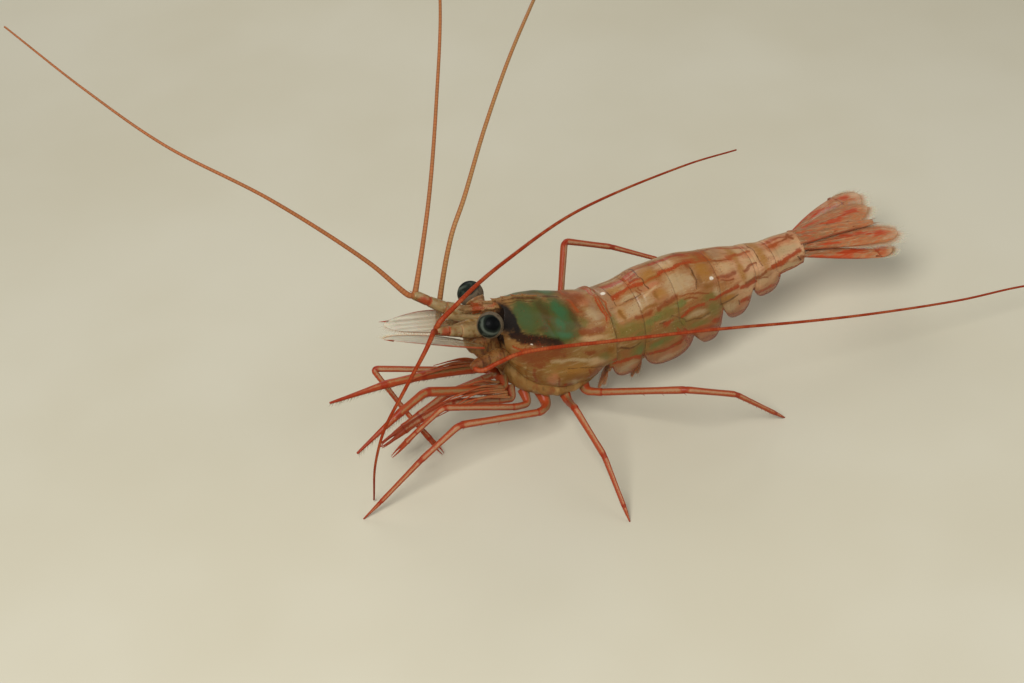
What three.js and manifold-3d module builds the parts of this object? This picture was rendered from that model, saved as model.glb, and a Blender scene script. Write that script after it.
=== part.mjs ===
// A banded cleaner shrimp of the peppermint kind, life size, standing on its walking legs.
// Millimetres, +Z up. The head looks along -X and the tail along +X; the animal's left side is -Y.
// The floor is z = 0. The group is moved at the end so that its origin is the middle of its base.
import * as THREE from 'three';
import Module from 'manifold-3d';
import { mergeVertices } from 'three/addons/utils/BufferGeometryUtils.js';

// ---------------------------------------------------------------- driving dimensions, mm
const GAP = 0.3;                 // clear space between neighbouring pieces
const FRONT = -1.6;              // x of the carapace's front edge, at the eye sockets
const CARAPACE_END = 10.0;       // x of the carapace's rear edge
const ROSTRUM_TIP = [-6.1, 20.0];
const ROSTRUM_THICK = 0.6;
const EYE_RADIUS = 1.45;
const EYE_AT = { left: [-3.7, -3.0, 18.6], right: [-3.1, 3.0, 18.5] };
const SEGMENT_ENDS = [10.3, 14.4, 18.9, 24.7, 30.0, 33.2, 37.4];   // x where each tail ring begins
const PLEURON_LOW = [5.1, 4.5, 4.8, 6.3, 7.3, 9.2];              // lowest z of each ring's side flap
const FLAP_SWEEP = [0, 0, 2.6, 0.9, 0, 1.0, 0];                  // how far each joint sweeps back below
const PLATE = 0.75;              // thickness of a side flap
const TELSON_DIP = 13;           // degrees below level
const FAN_ROOT = [37.75, 0, 11.55];
const FEELER_TIP_RADIUS = 0.27;

const SIDES = { left: -1, right: 1 };

// ---------------------------------------------------------------- materials
function material(color, roughness, metalness = 0) {
  return () => new THREE.MeshStandardMaterial({ color, roughness, metalness });
}
const shell = material('#b98c62', 0.35);
const tailShell = material('#bf8f66', 0.35);
const flesh = material('#b0713f', 0.5);
const limbShell = material('#c4553a', 0.4);
const feelerShell = material('#a8492f', 0.45);
const clearShell = material('#cfc2a8', 0.3);
const fanShell = material('#cc5a3c', 0.35);
const eyeBall = material('#1b2226', 0.1);

// ---------------------------------------------------------------- numbers and points
const { lerp, clamp } = THREE.MathUtils;
const vec = (p) => new THREE.Vector3(p[0], p[1], p[2]);

// A smooth line through a few (x, value) pairs: cubic pieces with slopes from the neighbours.
function through(...pairs) {
  const slope = pairs.map((_, i) => {
    const a = pairs[Math.max(i - 1, 0)];
    const b = pairs[Math.min(i + 1, pairs.length - 1)];
    return (b[1] - a[1]) / (b[0] - a[0]);
  });
  return (x) => {
    const last = pairs.length - 2;
    const found = pairs.findIndex((p) => p[0] > x) - 1;
    const i = found < -1 ? last : clamp(found, 0, last);
    const [x0, v0] = pairs[i];
    const [x1, v1] = pairs[i + 1];
    const span = x1 - x0;
    const t = clamp((x - x0) / span, 0, 1);
    const h = t * t * (3 - 2 * t);
    return v0 * (1 - h) + v1 * h
      + span * (slope[i] * t * (1 - t) ** 2 - slope[i + 1] * t * t * (1 - t));
  };
}

// ---------------------------------------------------------------- closed solids from rings
// Flat lid over a ring: the ring's own plane gives it two axes, and three.js cuts it in triangles.
function lid(ring, offset) {
  const middle = ring.reduce((sum, p) => sum.add(p), new THREE.Vector3()).divideScalar(ring.length);
  const normal = new THREE.Vector3();
  ring.forEach((p, i) => {
    const a = p.clone().sub(middle);
    const b = ring[(i + 1) % ring.length].clone().sub(middle);
    normal.add(a.cross(b));
  });
  normal.normalize();
  const along = ring[0].clone().sub(middle).normalize();
  const across = normal.clone().cross(along);
  const flat = ring.map((p) => {
    const d = p.clone().sub(middle);
    return new THREE.Vector2(d.dot(along), d.dot(across));
  });
  return THREE.ShapeUtils.triangulateShape(flat, []).map((t) => t.map((i) => i + offset));
}

function signedVolume(points, triangles) {
  return triangles.reduce((sum, [a, b, c]) =>
    sum + points[a].dot(points[b].clone().cross(points[c])) / 6, 0);
}

// Closed body over a list of rings that all have the same number of points.
function skin(rings) {
  const n = rings[0].length;
  const points = rings.flat();
  const triangles = [];
  for (let i = 0; i + 1 < rings.length; i += 1) {
    for (let j = 0; j < n; j += 1) {
      const k = (j + 1) % n;
      const [a, b, c, d] = [i * n + j, i * n + k, (i + 1) * n + k, (i + 1) * n + j];
      triangles.push([a, b, c], [a, c, d]);
    }
  }
  const first = lid(rings[0], 0).map(([a, b, c]) => [a, c, b]);
  const last = lid(rings.at(-1), (rings.length - 1) * n);
  triangles.push(...first, ...last);
  if (signedVolume(points, triangles) < 0) triangles.forEach((t) => t.reverse());
  const geometry = new THREE.BufferGeometry();
  geometry.setAttribute('position', new THREE.Float32BufferAttribute(points.flatMap((p) => [...p]), 3));
  geometry.setIndex(triangles.flat());
  return geometry;
}

// Frames carried along a path without twist, then a ring of `sides` points at each stop.
// Each stop is { at, radius, flat } where flat < 1 squeezes the ring along its second axis.
function ringsAlong(stops, sides, up = new THREE.Vector3(0, 0, 1)) {
  const rings = [];
  let side = null;
  stops.forEach((stop, i) => {
    const before = stops[Math.max(i - 1, 0)].at;
    const after = stops[Math.min(i + 1, stops.length - 1)].at;
    const goes = after.clone().sub(before).normalize();
    const start = side ?? up.clone().cross(goes);
    side = start.addScaledVector(goes, -start.dot(goes)).normalize().clone();
    const other = goes.clone().cross(side);
    rings.push(Array.from({ length: sides }, (_, j) => {
      const turn = (j / sides) * 2 * Math.PI;
      return stop.at.clone()
        .addScaledVector(side, stop.radius * Math.cos(turn))
        .addScaledVector(other, stop.radius * (stop.flat ?? 1) * Math.sin(turn));
    }));
  });
  return rings;
}

// A jointed limb: round at the joints, a little slimmer between them.
function limbStops(joints, slim = 0.86) {
  const stops = [];
  joints.forEach(([x, y, z, radius], i) => {
    const at = vec([x, y, z]);
    if (i > 0) {
      const [px, py, pz, before] = joints[i - 1];
      const from = vec([px, py, pz]);
      const reach = from.distanceTo(at);
      const near = Math.min(1.1, reach * 0.25) / reach;
      stops.push({ at: from.clone().lerp(at, near), radius: before * slim });
      stops.push({ at: from.clone().lerp(at, 1 - near), radius: radius * slim });
    }
    stops.push({ at, radius });
  });
  return stops;
}

// A walking leg ends in a small flat sole: its last ring slides down the leg onto the floor.
function standingLeg(joints, sides = 6) {
  const rings = ringsAlong(limbStops(joints), sides);
  const [foot, ankle] = [joints.at(-1), joints.at(-2)];
  const goes = vec(foot).sub(vec(ankle)).normalize();
  rings.at(-1).forEach((p) => p.addScaledVector(goes, -p.z / goes.z).setZ(0));
  return skin(rings);
}

// A feeler: a smooth curve through a few points, tapering to its tip.
function feeler(points, rootRadius, steps, sides = 5) {
  const curve = new THREE.CatmullRomCurve3(points.map(vec), false, 'centripetal');
  const stops = Array.from({ length: steps + 1 }, (_, i) => ({
    at: curve.getPointAt(i / steps),
    radius: lerp(rootRadius, FEELER_TIP_RADIUS, i / steps),
  }));
  return skin(ringsAlong(stops, sides));
}

// A thin leaf: an outline of half widths along a straight rib, with a rounded section.
// `widthAt` gives the half width for t from 0 at the root to 1 at the tip.
function leaf({ root, yaw, pitch, roll, length, thick, widthAt, steps = 9, drop = 0 }) {
  const rings = Array.from({ length: steps + 1 }, (_, i) => {
    const t = i / steps;
    const [left, right] = widthAt(t);
    const half = thick / 2;
    const section = [
      [-left, 0], [-left * 0.7, half], [0, half], [right * 0.7, half],
      [right, 0], [right * 0.7, -half], [0, -half], [-left * 0.7, -half],
    ];
    return section.map(([y, z]) => new THREE.Vector3(t * length, y, z + drop));
  });
  const turn = new THREE.Matrix4().makeTranslation(...root)
    .multiply(new THREE.Matrix4().makeRotationZ(yaw))
    .multiply(new THREE.Matrix4().makeRotationY(pitch))
    .multiply(new THREE.Matrix4().makeRotationX(roll));
  rings.flat().forEach((p) => p.applyMatrix4(turn));
  return skin(rings);
}

// ---------------------------------------------------------------- joins with manifold-3d
const wasm = await Module();
wasm.setup();

function toSolid(geometry) {
  const bare = geometry.clone();
  bare.deleteAttribute('normal');
  bare.deleteAttribute('uv');
  const merged = mergeVertices(bare, 1e-4);
  return new wasm.Manifold(new wasm.Mesh({
    numProp: 3,
    vertProperties: new Float32Array(merged.attributes.position.array),
    triVerts: new Uint32Array(merged.index.array),
  }));
}

function fromSolid(solid) {
  const mesh = solid.getMesh();
  const geometry = new THREE.BufferGeometry();
  geometry.setAttribute('position', new THREE.BufferAttribute(mesh.vertProperties, 3));
  geometry.setIndex(new THREE.BufferAttribute(mesh.triVerts, 1));
  return geometry;
}

const joined = (...parts) => fromSolid(parts.map(toSolid).reduce((all, one) => all.add(one)));

// ---------------------------------------------------------------- carapace with its rostrum
const backTop = through([-1.6, 19.1], [1, 18.4], [4.4, 17.0], [7, 15.8], [10, 14.7]);
const carapaceWidth = through([-1.6, 2.7], [0, 3.8], [2.5, 4.6], [5, 4.9], [10, 4.5]);
const carapaceLow = through([-1.6, 10.9], [0, 8.5], [2.5, 6.6], [5, 5.7], [7.5, 5.6], [10, 6.6]);
const WIDEST = 0.46;             // the carapace is widest this far up its height
const CARAPACE_STOPS = 12;
const CARAPACE_SIDES = 24;

function carapaceRing(x) {
  const [low, top, half] = [carapaceLow(x), backTop(x), carapaceWidth(x)];
  const middle = lerp(low, top, WIDEST);
  return Array.from({ length: CARAPACE_SIDES }, (_, j) => {
    const turn = (j / CARAPACE_SIDES) * 2 * Math.PI;
    const [s, c] = [Math.sin(turn), Math.cos(turn)];
    const y = half * Math.sign(s) * Math.abs(s) ** (c < 0 ? 0.6 : 0.95);
    const z = c < 0 ? middle - (middle - low) * Math.abs(c) ** 0.75 : middle + (top - middle) * c;
    const bulge = x > 9.5 ? 0.12 * s * s : 0;
    return new THREE.Vector3(x + bulge, y, z);
  });
}

// The rostrum is a thin upright blade with forward-pointing teeth along its top and two below.
function rostrum() {
  const [tipX, tipZ] = ROSTRUM_TIP;
  const rootX = 1.6;
  const teeth = 6;
  const outline = new THREE.Shape();
  outline.moveTo(rootX, 17.4);
  outline.lineTo(rootX, 18.25);
  for (let i = 0; i < teeth; i += 1) {
    const [a, b] = [i / teeth, (i + 0.78) / teeth];
    const ridge = (t) => [lerp(rootX - 0.4, tipX + 0.7, t), lerp(18.5, tipZ - 0.1, t ** 0.8)];
    const [, z0] = ridge(a);
    const [x1, z1] = ridge(b);
    outline.lineTo(ridge(a)[0], z0);
    outline.lineTo(x1 - 0.18, z1 + 0.42);
  }
  outline.lineTo(tipX, tipZ);
  outline.lineTo(tipX + 1.2, tipZ - 0.62);
  outline.lineTo(tipX + 1.3, tipZ - 0.95);
  outline.lineTo(tipX + 2.6, tipZ - 1.05);
  outline.lineTo(tipX + 2.7, tipZ - 1.35);
  outline.lineTo(FRONT + 0.4, 18.1);
  const blade = new THREE.ExtrudeGeometry(outline, { depth: ROSTRUM_THICK, bevelEnabled: false });
  blade.rotateX(Math.PI / 2);
  blade.translate(0, ROSTRUM_THICK / 2, 0);
  return blade;
}

function carapace() {
  const rings = Array.from({ length: CARAPACE_STOPS + 1 }, (_, i) => {
    const t = i / CARAPACE_STOPS;
    return carapaceRing(lerp(FRONT, CARAPACE_END, t ** 1.25));
  });
  return joined(skin(rings), rostrum());
}

// ---------------------------------------------------------------- head and breast
// Rounded box section between two heights, used for the flesh that shows below the shell.
function barrelRing(x, half, low, top, sides = 12) {
  return Array.from({ length: sides }, (_, j) => {
    const turn = (j / sides) * 2 * Math.PI;
    const [s, c] = [Math.sin(turn), Math.cos(turn)];
    const y = half * Math.sign(s) * Math.abs(s) ** 0.7;
    const z = (low + top) / 2 + ((top - low) / 2) * Math.sign(c) * Math.abs(c) ** 0.7;
    return new THREE.Vector3(x, y, z);
  });
}

function headBase() {
  const half = through([-5.2, 1.15], [-4, 1.6], [-1.9, 1.75]);
  const low = through([-5.2, 13.6], [-4, 11.9], [-1.9, 9.6]);
  const top = through([-5.2, 15.6], [-4, 16.1], [-1.9, 16.2]);
  const stops = [-5.2, -4.7, -3.9, -2.9, FRONT - GAP];
  return skin(stops.map((x) => barrelRing(x, half(x), low(x), top(x))));
}

const breastLow = through([-1.5, 7.5], [0, 6.1], [2.5, 4.5], [4.5, 3.7], [9, 4.1]);
function breast() {
  const half = through([-1.5, 1.6], [0, 2.2], [2.5, 2.8], [6, 2.9], [9.1, 2.5]);
  const stops = [-1.5, -0.4, 1.2, 3, 5, 7, 9.1];
  return skin(stops.map((x) => barrelRing(x, half(x), breastLow(x), carapaceLow(x) - GAP)));
}

function eye(side) {
  const ball = new THREE.SphereGeometry(EYE_RADIUS, 12, 9);
  ball.translate(...EYE_AT[side]);
  return ball;
}

function eyestalk(side) {
  const root = vec([-2.85, SIDES[side] * 0.95, 17.1]);
  const middle = vec(EYE_AT[side]);
  const reach = root.distanceTo(middle);
  const at = (t) => root.clone().lerp(middle, t);
  const end = (reach - EYE_RADIUS - GAP) / reach;
  return skin(ringsAlong([
    { at: at(-0.12), radius: 0.5 },
    { at: at(0), radius: 0.62 },
    { at: at(end * 0.5), radius: 0.78 },
    { at: at(end), radius: 0.86 },
  ], 8));
}

// ---------------------------------------------------------------- antennules, antennae and scales
const ANTENNULE_END = { left: [-9.3, -1.6, 19.3], right: [-9.7, 2.5, 21.5] };

function antennuleStalk(side) {
  const hand = SIDES[side];
  const [x, y, z] = ANTENNULE_END[side];
  const root = [-5.35, hand * 1.1, 16.75];
  const along = (t) => [0, 1, 2].map((k) => lerp(root[k], [x, y, z][k], t));
  return skin(ringsAlong(limbStops([
    [...root, 0.6], [...along(0.5), 0.62], [...along(0.76), 0.56], [x, y, z, 0.58],
  ]), 8));
}

function antennaBase(hand) {
  return skin(ringsAlong([
    { at: vec([-2.3, hand * 2.95, 13.6]), radius: 0.62 },
    { at: vec([-3.2, hand * 3.1, 13.95]), radius: 0.9 },
    { at: vec([-4.4, hand * 3.3, 14.3]), radius: 0.86 },
    { at: vec([-5.1, hand * 3.5, 14.5]), radius: 0.62 },
    { at: vec([-5.9, hand * 3.8, 14.65]), radius: 0.66 },
    { at: vec([-6.5, hand * 4.0, 14.75]), radius: 0.45 },
  ], 8));
}

const SCALE_LENGTH = { left: 11.6, right: 9.4 };
const SCALE_RISE = { left: 26.5, right: 21 };   // degrees
function antennaScale(side) {
  const hand = SIDES[side];
  const outer = (t) => 0.95 + 0.55 * Math.sin(Math.PI * t ** 0.8) - 0.9 * t ** 3;
  const inner = (t) => 0.5 + 1.25 * Math.sin(Math.PI * Math.min(t ** 0.7, 1)) - 0.2 * t;
  return leaf({
    root: [-4.95, hand * 2.85, 16.05],
    yaw: Math.PI + hand * THREE.MathUtils.degToRad(4.5),
    pitch: THREE.MathUtils.degToRad(-SCALE_RISE[side]),
    roll: hand * THREE.MathUtils.degToRad(-18),
    length: SCALE_LENGTH[side],
    thick: 0.55,
    widthAt: (t) => (hand < 0 ? [inner(t), outer(t)] : [outer(t), inner(t)]),
  });
}

// Routes of the long feelers, root first.
const FEELERS = {
  antennule_outer_right: {
    root: 0.34,
    steps: 22,
    route: [
      [-9.3, 2.8, 22.2], [-5.1, 7, 29.3], [-0.1, 14, 36.5], [4.4, 21, 43.8],
      [7.8, 29, 50], [10, 38, 54.5], [11, 45, 57],
    ],
  },
  antennule_inner_right: {
    root: 0.32,
    steps: 20,
    route: [
      [-10.45, 2.4, 21.9], [-13.3, 5, 25.6], [-21.2, 10, 33.8], [-29.1, 17, 39.4],
      [-34.4, 24, 44.2], [-39.4, 32, 49.3],
    ],
  },
  antennule_outer_left: {
    root: 0.34,
    steps: 20,
    route: [
      [-8.9, -1.6, 20.15], [-6.6, -1.1, 21.2], [-3.4, 0, 22], [1.2, 2, 22.1],
      [11.7, 6, 21.8], [28.4, 10, 19.6], [37, 12.2, 17.4],
    ],
  },
  antennule_inner_left: {
    root: 0.33,
    steps: 16,
    route: [
      [-9.85, -2.2, 19.8], [-10.4, -3.3, 20.5], [-11.8, -4.5, 19.9], [-15, -5, 16],
      [-17.8, -5.2, 12.1], [-19.3, -5, 7.8], [-19.5, -2.8, 0.35],
    ],
  },
  antenna_flagellum_left: {
    root: 0.36,
    steps: 32,
    route: [
      [-6, -4.95, 14.7], [-4.2, -5.3, 15.2], [-1.6, -5.5, 15.5], [9.7, -7, 13.4],
      [21.3, -9, 11.3], [31.1, -10.5, 9.1], [39.6, -12, 7.6], [51.5, -13.5, 5.6],
      [60.1, -14.6, 4.8], [70, -17, 3.6], [80, -20.5, 2.6],
    ],
  },
  antenna_flagellum_right: {
    root: 0.4,
    steps: 32,
    route: [
      [-6.55, 4.5, 15.5], [-5.8, 4.8, 18.7], [-3.3, 6.1, 24.6], [-0.7, 8, 27.1],
      [5.1, 14, 30.7], [11.5, 20, 34.5], [18.6, 27, 36.7], [30, 40, 37],
      [45, 54, 33.5], [57, 65, 28],
    ],
  },
};

// ---------------------------------------------------------------- feeding and walking legs
// Joints from the body outwards: x, y, z and the radius there.
const MAXILLIPEDS = {
  left: [
    [-2.3, -2, 8.3, 0.5], [-4.2, -2.1, 8.9, 0.62], [-11.6, -2, 12, 0.56],
    [-15, -2.5, 10.9, 0.5], [-20.6, -3.1, 8.2, 0.34],
  ],
  right: [
    [-2.3, 2, 8.3, 0.5], [-4.2, 2.1, 8.9, 0.62], [-10.2, 2.2, 10.5, 0.56],
    [-14.4, 2.7, 10.8, 0.5], [-20.8, 3.2, 10.7, 0.34],
  ],
};
const CLAWED_LEGS = {
  leg_1_left: {
    reach: 3.2,
    joints: [
      [-1.6, -2.35, 6.6, 0.45], [-2.9, -2.2, 6.9, 0.44], [-8.4, -1.2, 8.3, 0.5],
      [-12.4, -1.1, 7.6, 0.5], [-14.3, -1.1, 7, 0.52],
    ],
  },
  leg_1_right: {
    reach: 3.2,
    joints: [
      [-1.6, 2.35, 6.6, 0.45], [-2.9, 2.2, 6.7, 0.44], [-8, 1.3, 7.4, 0.5],
      [-11.9, 0.9, 6.2, 0.5], [-13.7, 0.8, 5.4, 0.52],
    ],
  },
  leg_2_left: {
    reach: 2.4,
    joints: [
      [0, -2.95, 5.5, 0.45], [-1.7, -3.3, 6.1, 0.42], [-10.3, -3.3, 10.1, 0.4],
      [-13.8, -2.9, 7.6, 0.32], [-14.8, -2.8, 6.8, 0.36],
    ],
  },
  leg_2_right: {
    reach: 2.3,
    joints: [
      [0, 2.95, 5.5, 0.45], [-1.5, 3.9, 6.1, 0.42], [-13.9, 7.9, 9, 0.4],
      [-12, 3.6, 4.6, 0.33], [-10.6, 1.2, 1.95, 0.36],
    ],
  },
};
const WALKING_LEGS = {
  leg_3_left: [
    [2.1, -3.35, 4.6, 0.48], [0.8, -4.5, 5.1, 0.44], [-9.1, -4.4, 7.8, 0.46],
    [-14, -4.5, 5.1, 0.38], [-19.6, -4.6, 1.3, 0.31], [-21.6, -4.65, 0, 0.27],
  ],
  leg_3_right: [
    [2.1, 3.3, 4.45, 0.5], [1.7, 4.7, 5.2, 0.44], [0.4, 10.2, 8.6, 0.46],
    [0.9, 13, 5.4, 0.38], [1.8, 16.2, 1.3, 0.31], [2.1, 17, 0, 0.27],
  ],
  leg_4_left: [
    [4.6, -3.45, 4.45, 0.48], [4.3, -4.8, 5, 0.44], [2.4, -9.7, 9, 0.46],
    [3.4, -14.1, 5, 0.38], [3.15, -18.9, 1, 0.31], [3.1, -19.9, 0, 0.27],
  ],
  leg_4_right: [
    [4.6, 3.4, 4.2, 0.52], [5.4, 4.9, 5, 0.44], [9, 10.4, 8.3, 0.46],
    [11.4, 13.2, 5.2, 0.38], [14.3, 16.6, 1.2, 0.31], [15, 17.4, 0, 0.27],
  ],
  leg_5_left: [
    [7.1, -3.4, 4.45, 0.48], [8, -4.9, 5, 0.44], [14.2, -13.5, 9, 0.46],
    [20.2, -14.1, 6, 0.38], [25.4, -14.7, 1, 0.31], [26.4, -14.8, 0, 0.27],
  ],
  leg_5_right: [
    [7.1, 3.35, 4.3, 0.52], [8, 5, 5.2, 0.44], [13.4, 12.5, 13, 0.46],
    [19.4, 12.1, 10, 0.38], [25.3, 10.8, 6.5, 0.33], [26.8, 11, 0, 0.3],
  ],
};

// A clawed leg ends in a hand with two slim fingers that stand a little apart.
function clawedLeg({ joints, reach }) {
  const arm = skin(ringsAlong(limbStops(joints), 6));
  const [a, b] = [vec(joints.at(-2)), vec(joints.at(-1))];
  const goes = b.clone().sub(a).normalize();
  const spread = goes.clone().cross(new THREE.Vector3(0, 0, 1)).normalize();
  const wide = joints.at(-1)[3];
  const from = (along, apart) => b.clone().addScaledVector(goes, along).addScaledVector(spread, apart * wide);
  const finger = (hand) => skin(ringsAlong([
    { at: from(-0.25, hand * 0.3), radius: wide * 0.62 },
    { at: from(reach * 0.45, hand * 0.8), radius: 0.3 },
    { at: from(reach, hand * 0.72), radius: 0.25 },
  ], 5));
  return joined(arm, finger(1), finger(-1));
}

// ---------------------------------------------------------------- tail rings
const tailTop = through([10.3, 14.4], [12.8, 14.2], [16.4, 14.9], [20.6, 15.1], [25, 14.2],
  [30.4, 12.8], [33, 12.3], [37.4, 12.3]);
const tailWidth = through([10.3, 4.3], [14, 4.25], [19, 4.05], [25, 3.5],
  [30, 2.8], [33, 2.35], [37.4, 1.85]);
const belly = through([10.3, 6.9], [16, 7.1], [21, 7.7], [25, 8.5], [30, 9.1], [33, 9.3], [37.4, 9.3]);
const ARCH = 12;                 // steps over the back of a tail ring
const RING_STOPS = [0, 0.07, 0.22, 0.5, 0.78, 0.93, 1];

// Section of one tail ring: an arch over the back, straight sides down to the flap's edge, and
// the belly between the flaps. `s` grows from 0 where the side begins to 1 at the flap's edge.
function tailRing(x, flap, swell, sweep) {
  const [top, half, under] = [tailTop(x) + swell, tailWidth(x) + swell, belly(x)];
  const spring = lerp(under, top, 0.42);
  const low = Math.min(flap, under - 0.12);
  const inside = half - Math.min(PLATE, half * 0.3);
  const right = [];
  for (let i = 0; i <= ARCH / 2; i += 1) {
    const turn = (i / (ARCH / 2)) * (Math.PI / 2);
    right.push([half * Math.sin(turn) ** 0.95, spring + (top - spring) * Math.cos(turn), 0]);
  }
  [0.4, 0.75, 1].forEach((s) => right.push([half * (1 - 0.1 * s * s), lerp(spring, low, s), s]));
  right.push([inside * 0.94, low, 1]);
  right.push([inside * 0.94, under, 0.55]);
  right.push([0, under + 0.25, 0.3]);
  const left = right.slice(1, -1).reverse().map(([y, z, s]) => [-y, z, s]);
  return [...right, ...left].map(([y, z, s]) => new THREE.Vector3(x + sweep(s), y, z));
}

function tailSegment(index) {
  const [from, to] = [SEGMENT_ENDS[index] + GAP / 2, SEGMENT_ENDS[index + 1] - GAP / 2];
  const lowest = PLEURON_LOW[index];
  return skin(RING_STOPS.map((u) => {
    const x = lerp(from, to, u);
    const round = (1 - Math.abs(2 * u - 1) ** 3) ** 0.6;
    const flap = lerp(belly(x) - 0.12, lowest, round);
    const sweep = (s) => s * s * lerp(FLAP_SWEEP[index], FLAP_SWEEP[index + 1], u);
    return tailRing(x, flap, 0.16 * Math.sin(Math.PI * (0.12 + 0.8 * u)), sweep);
  }));
}

// ---------------------------------------------------------------- swimmerets
const SWIMMERET_X = [12.2, 16.9, 22.4, 27.4, 31.2];
function swimmeret(index, hand) {
  const x = SWIMMERET_X[index];
  const top = belly(x) - GAP - 0.1;
  const reach = [3.4, 3.9, 3.8, 3.0, 2.3][index];
  const y = hand * Math.min(1.7, tailWidth(x) * 0.45);
  return skin(ringsAlong([
    { at: vec([x, y, top]), radius: 0.55, flat: 0.8 },
    { at: vec([x - 0.25 * reach, y, top - 0.35 * reach]), radius: 0.62, flat: 0.6 },
    { at: vec([x - 0.45 * reach, y, top - 0.7 * reach]), radius: 0.7, flat: 0.45 },
    { at: vec([x - 0.5 * reach, y, top - reach]), radius: 0.3, flat: 0.9 },
  ], 6, new THREE.Vector3(0, 1, 0)));
}

// ---------------------------------------------------------------- tail fan
function telson() {
  return leaf({
    root: [FAN_ROOT[0], 0, FAN_ROOT[2] + 0.5],
    yaw: 0,
    pitch: THREE.MathUtils.degToRad(TELSON_DIP),
    roll: 0,
    length: 11.0,
    thick: 0.8,
    widthAt: (t) => [1.45 - 0.95 * t ** 1.2, 1.45 - 0.95 * t ** 1.2],
  });
}

function tailBlade(hand, { yaw, dip, length, drop, out, rounds, spread }) {
  const halves = (t) => {
    const half = spread * (0.22 + 0.78 * Math.sin(Math.PI * 0.93 * t ** rounds) ** 0.8);
    return [half, half];
  };
  return leaf({
    root: [FAN_ROOT[0] + 0.5, hand * out, FAN_ROOT[2]],
    yaw: hand * THREE.MathUtils.degToRad(yaw),
    pitch: THREE.MathUtils.degToRad(dip),
    roll: 0,
    length,
    thick: 0.55,
    drop,
    widthAt: halves,
  });
}
const BLADES = {
  uropod_inner_left: { yaw: 8, dip: 13, length: 12.4, drop: -0.45, out: 1.25, rounds: 0.85, spread: 1.7 },
  uropod_inner_right: { yaw: 10, dip: 11, length: 12, drop: -0.5, out: 1.25, rounds: 0.85, spread: 1.7 },
  uropod_outer_left: { yaw: 22, dip: 13, length: 10.4, drop: -1.3, out: 1.5, rounds: 0.95, spread: 2.0 },
  uropod_outer_right: { yaw: 28, dip: 8, length: 13, drop: -1.5, out: 1.7, rounds: 0.95, spread: 2.0 },
};

// ---------------------------------------------------------------- the whole animal
const shrimp = new THREE.Group();

function add(name, geometry, finish) {
  const mesh = new THREE.Mesh(geometry, finish());
  mesh.name = name;
  shrimp.add(mesh);
}

add('carapace', carapace(), shell);
add('head_base', headBase(), flesh);
add('breast', breast(), flesh);
for (const [side, hand] of Object.entries(SIDES)) {
  add(`eye_${side}`, eye(side), eyeBall);
  add(`eyestalk_${side}`, eyestalk(side), clearShell);
  add(`antennule_stalk_${side}`, antennuleStalk(side), clearShell);
  add(`antenna_base_${side}`, antennaBase(hand), flesh);
  add(`antenna_scale_${side}`, antennaScale(side), clearShell);
  add(`maxilliped_${side}`, skin(ringsAlong(limbStops(MAXILLIPEDS[side], 0.95), 6)), limbShell);
}
for (const [name, { route, root, steps }] of Object.entries(FEELERS)) {
  add(name, feeler(route, root, steps), feelerShell);
}
for (const [name, leg] of Object.entries(CLAWED_LEGS)) add(name, clawedLeg(leg), limbShell);
for (const [name, joints] of Object.entries(WALKING_LEGS)) add(name, standingLeg(joints), limbShell);
PLEURON_LOW.forEach((_, i) => add(`tail_ring_${i + 1}`, tailSegment(i), tailShell));
SWIMMERET_X.forEach((_, i) => {
  add(`swimmeret_${i + 1}_left`, swimmeret(i, -1), fanShell);
  add(`swimmeret_${i + 1}_right`, swimmeret(i, 1), fanShell);
});
add('telson', telson(), fanShell);
for (const [name, blade] of Object.entries(BLADES)) {
  add(name, tailBlade(name.endsWith('left') ? -1 : 1, blade), fanShell);
}

// The origin is the middle of the whole outline on the floor.
const outline = new THREE.Box3().setFromObject(shrimp);
const middle = outline.getCenter(new THREE.Vector3());
shrimp.position.set(-middle.x, -middle.y, -outline.min.z);
shrimp.updateMatrixWorld(true);

export default shrimp;
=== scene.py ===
# %% [markdown]
# # A peppermint-kind cleaner shrimp, life size
# The animal is about as long as a thumb, and its shell is so clear that the organs tint it from inside.
# Every plate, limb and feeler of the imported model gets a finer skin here, laid over the same sizes. The
# skins could be sculpted by hand, but a body of repeated rings and tubes follows simple rules, so each one
# is worked out with numpy from a few sizes. All shapes are written in millimetres in the animal's own frame
# and moved to the shared frame at the end.

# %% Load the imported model
import math

import bpy
import numpy as np
from mathutils import Matrix, Vector


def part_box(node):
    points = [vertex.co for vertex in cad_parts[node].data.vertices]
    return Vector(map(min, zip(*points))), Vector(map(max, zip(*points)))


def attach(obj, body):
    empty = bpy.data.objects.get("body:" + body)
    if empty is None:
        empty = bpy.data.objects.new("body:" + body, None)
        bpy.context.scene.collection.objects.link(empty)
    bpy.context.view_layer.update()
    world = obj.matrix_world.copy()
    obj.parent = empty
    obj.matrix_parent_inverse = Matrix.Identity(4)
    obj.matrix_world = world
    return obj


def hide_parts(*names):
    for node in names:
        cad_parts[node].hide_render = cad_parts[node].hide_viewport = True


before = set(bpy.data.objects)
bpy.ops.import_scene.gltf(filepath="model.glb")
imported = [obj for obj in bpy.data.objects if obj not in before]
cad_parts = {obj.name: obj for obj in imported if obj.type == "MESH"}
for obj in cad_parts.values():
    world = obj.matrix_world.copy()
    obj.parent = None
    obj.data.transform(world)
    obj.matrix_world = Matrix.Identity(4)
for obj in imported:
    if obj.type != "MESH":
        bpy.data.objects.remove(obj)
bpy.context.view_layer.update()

# %% [markdown]
# ## Where the animal lies
# The shared frame has its origin under the middle of the whole outline. The animal's own frame is easier to
# think in: x runs along the back from the eye sockets, y is to its right and z is up from the floor. The
# step between the two could be typed in, but it is measured instead, so that it stays true if the outline
# changes. The left eye is a ball, and the middle of its box is the same point in both frames.

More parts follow.
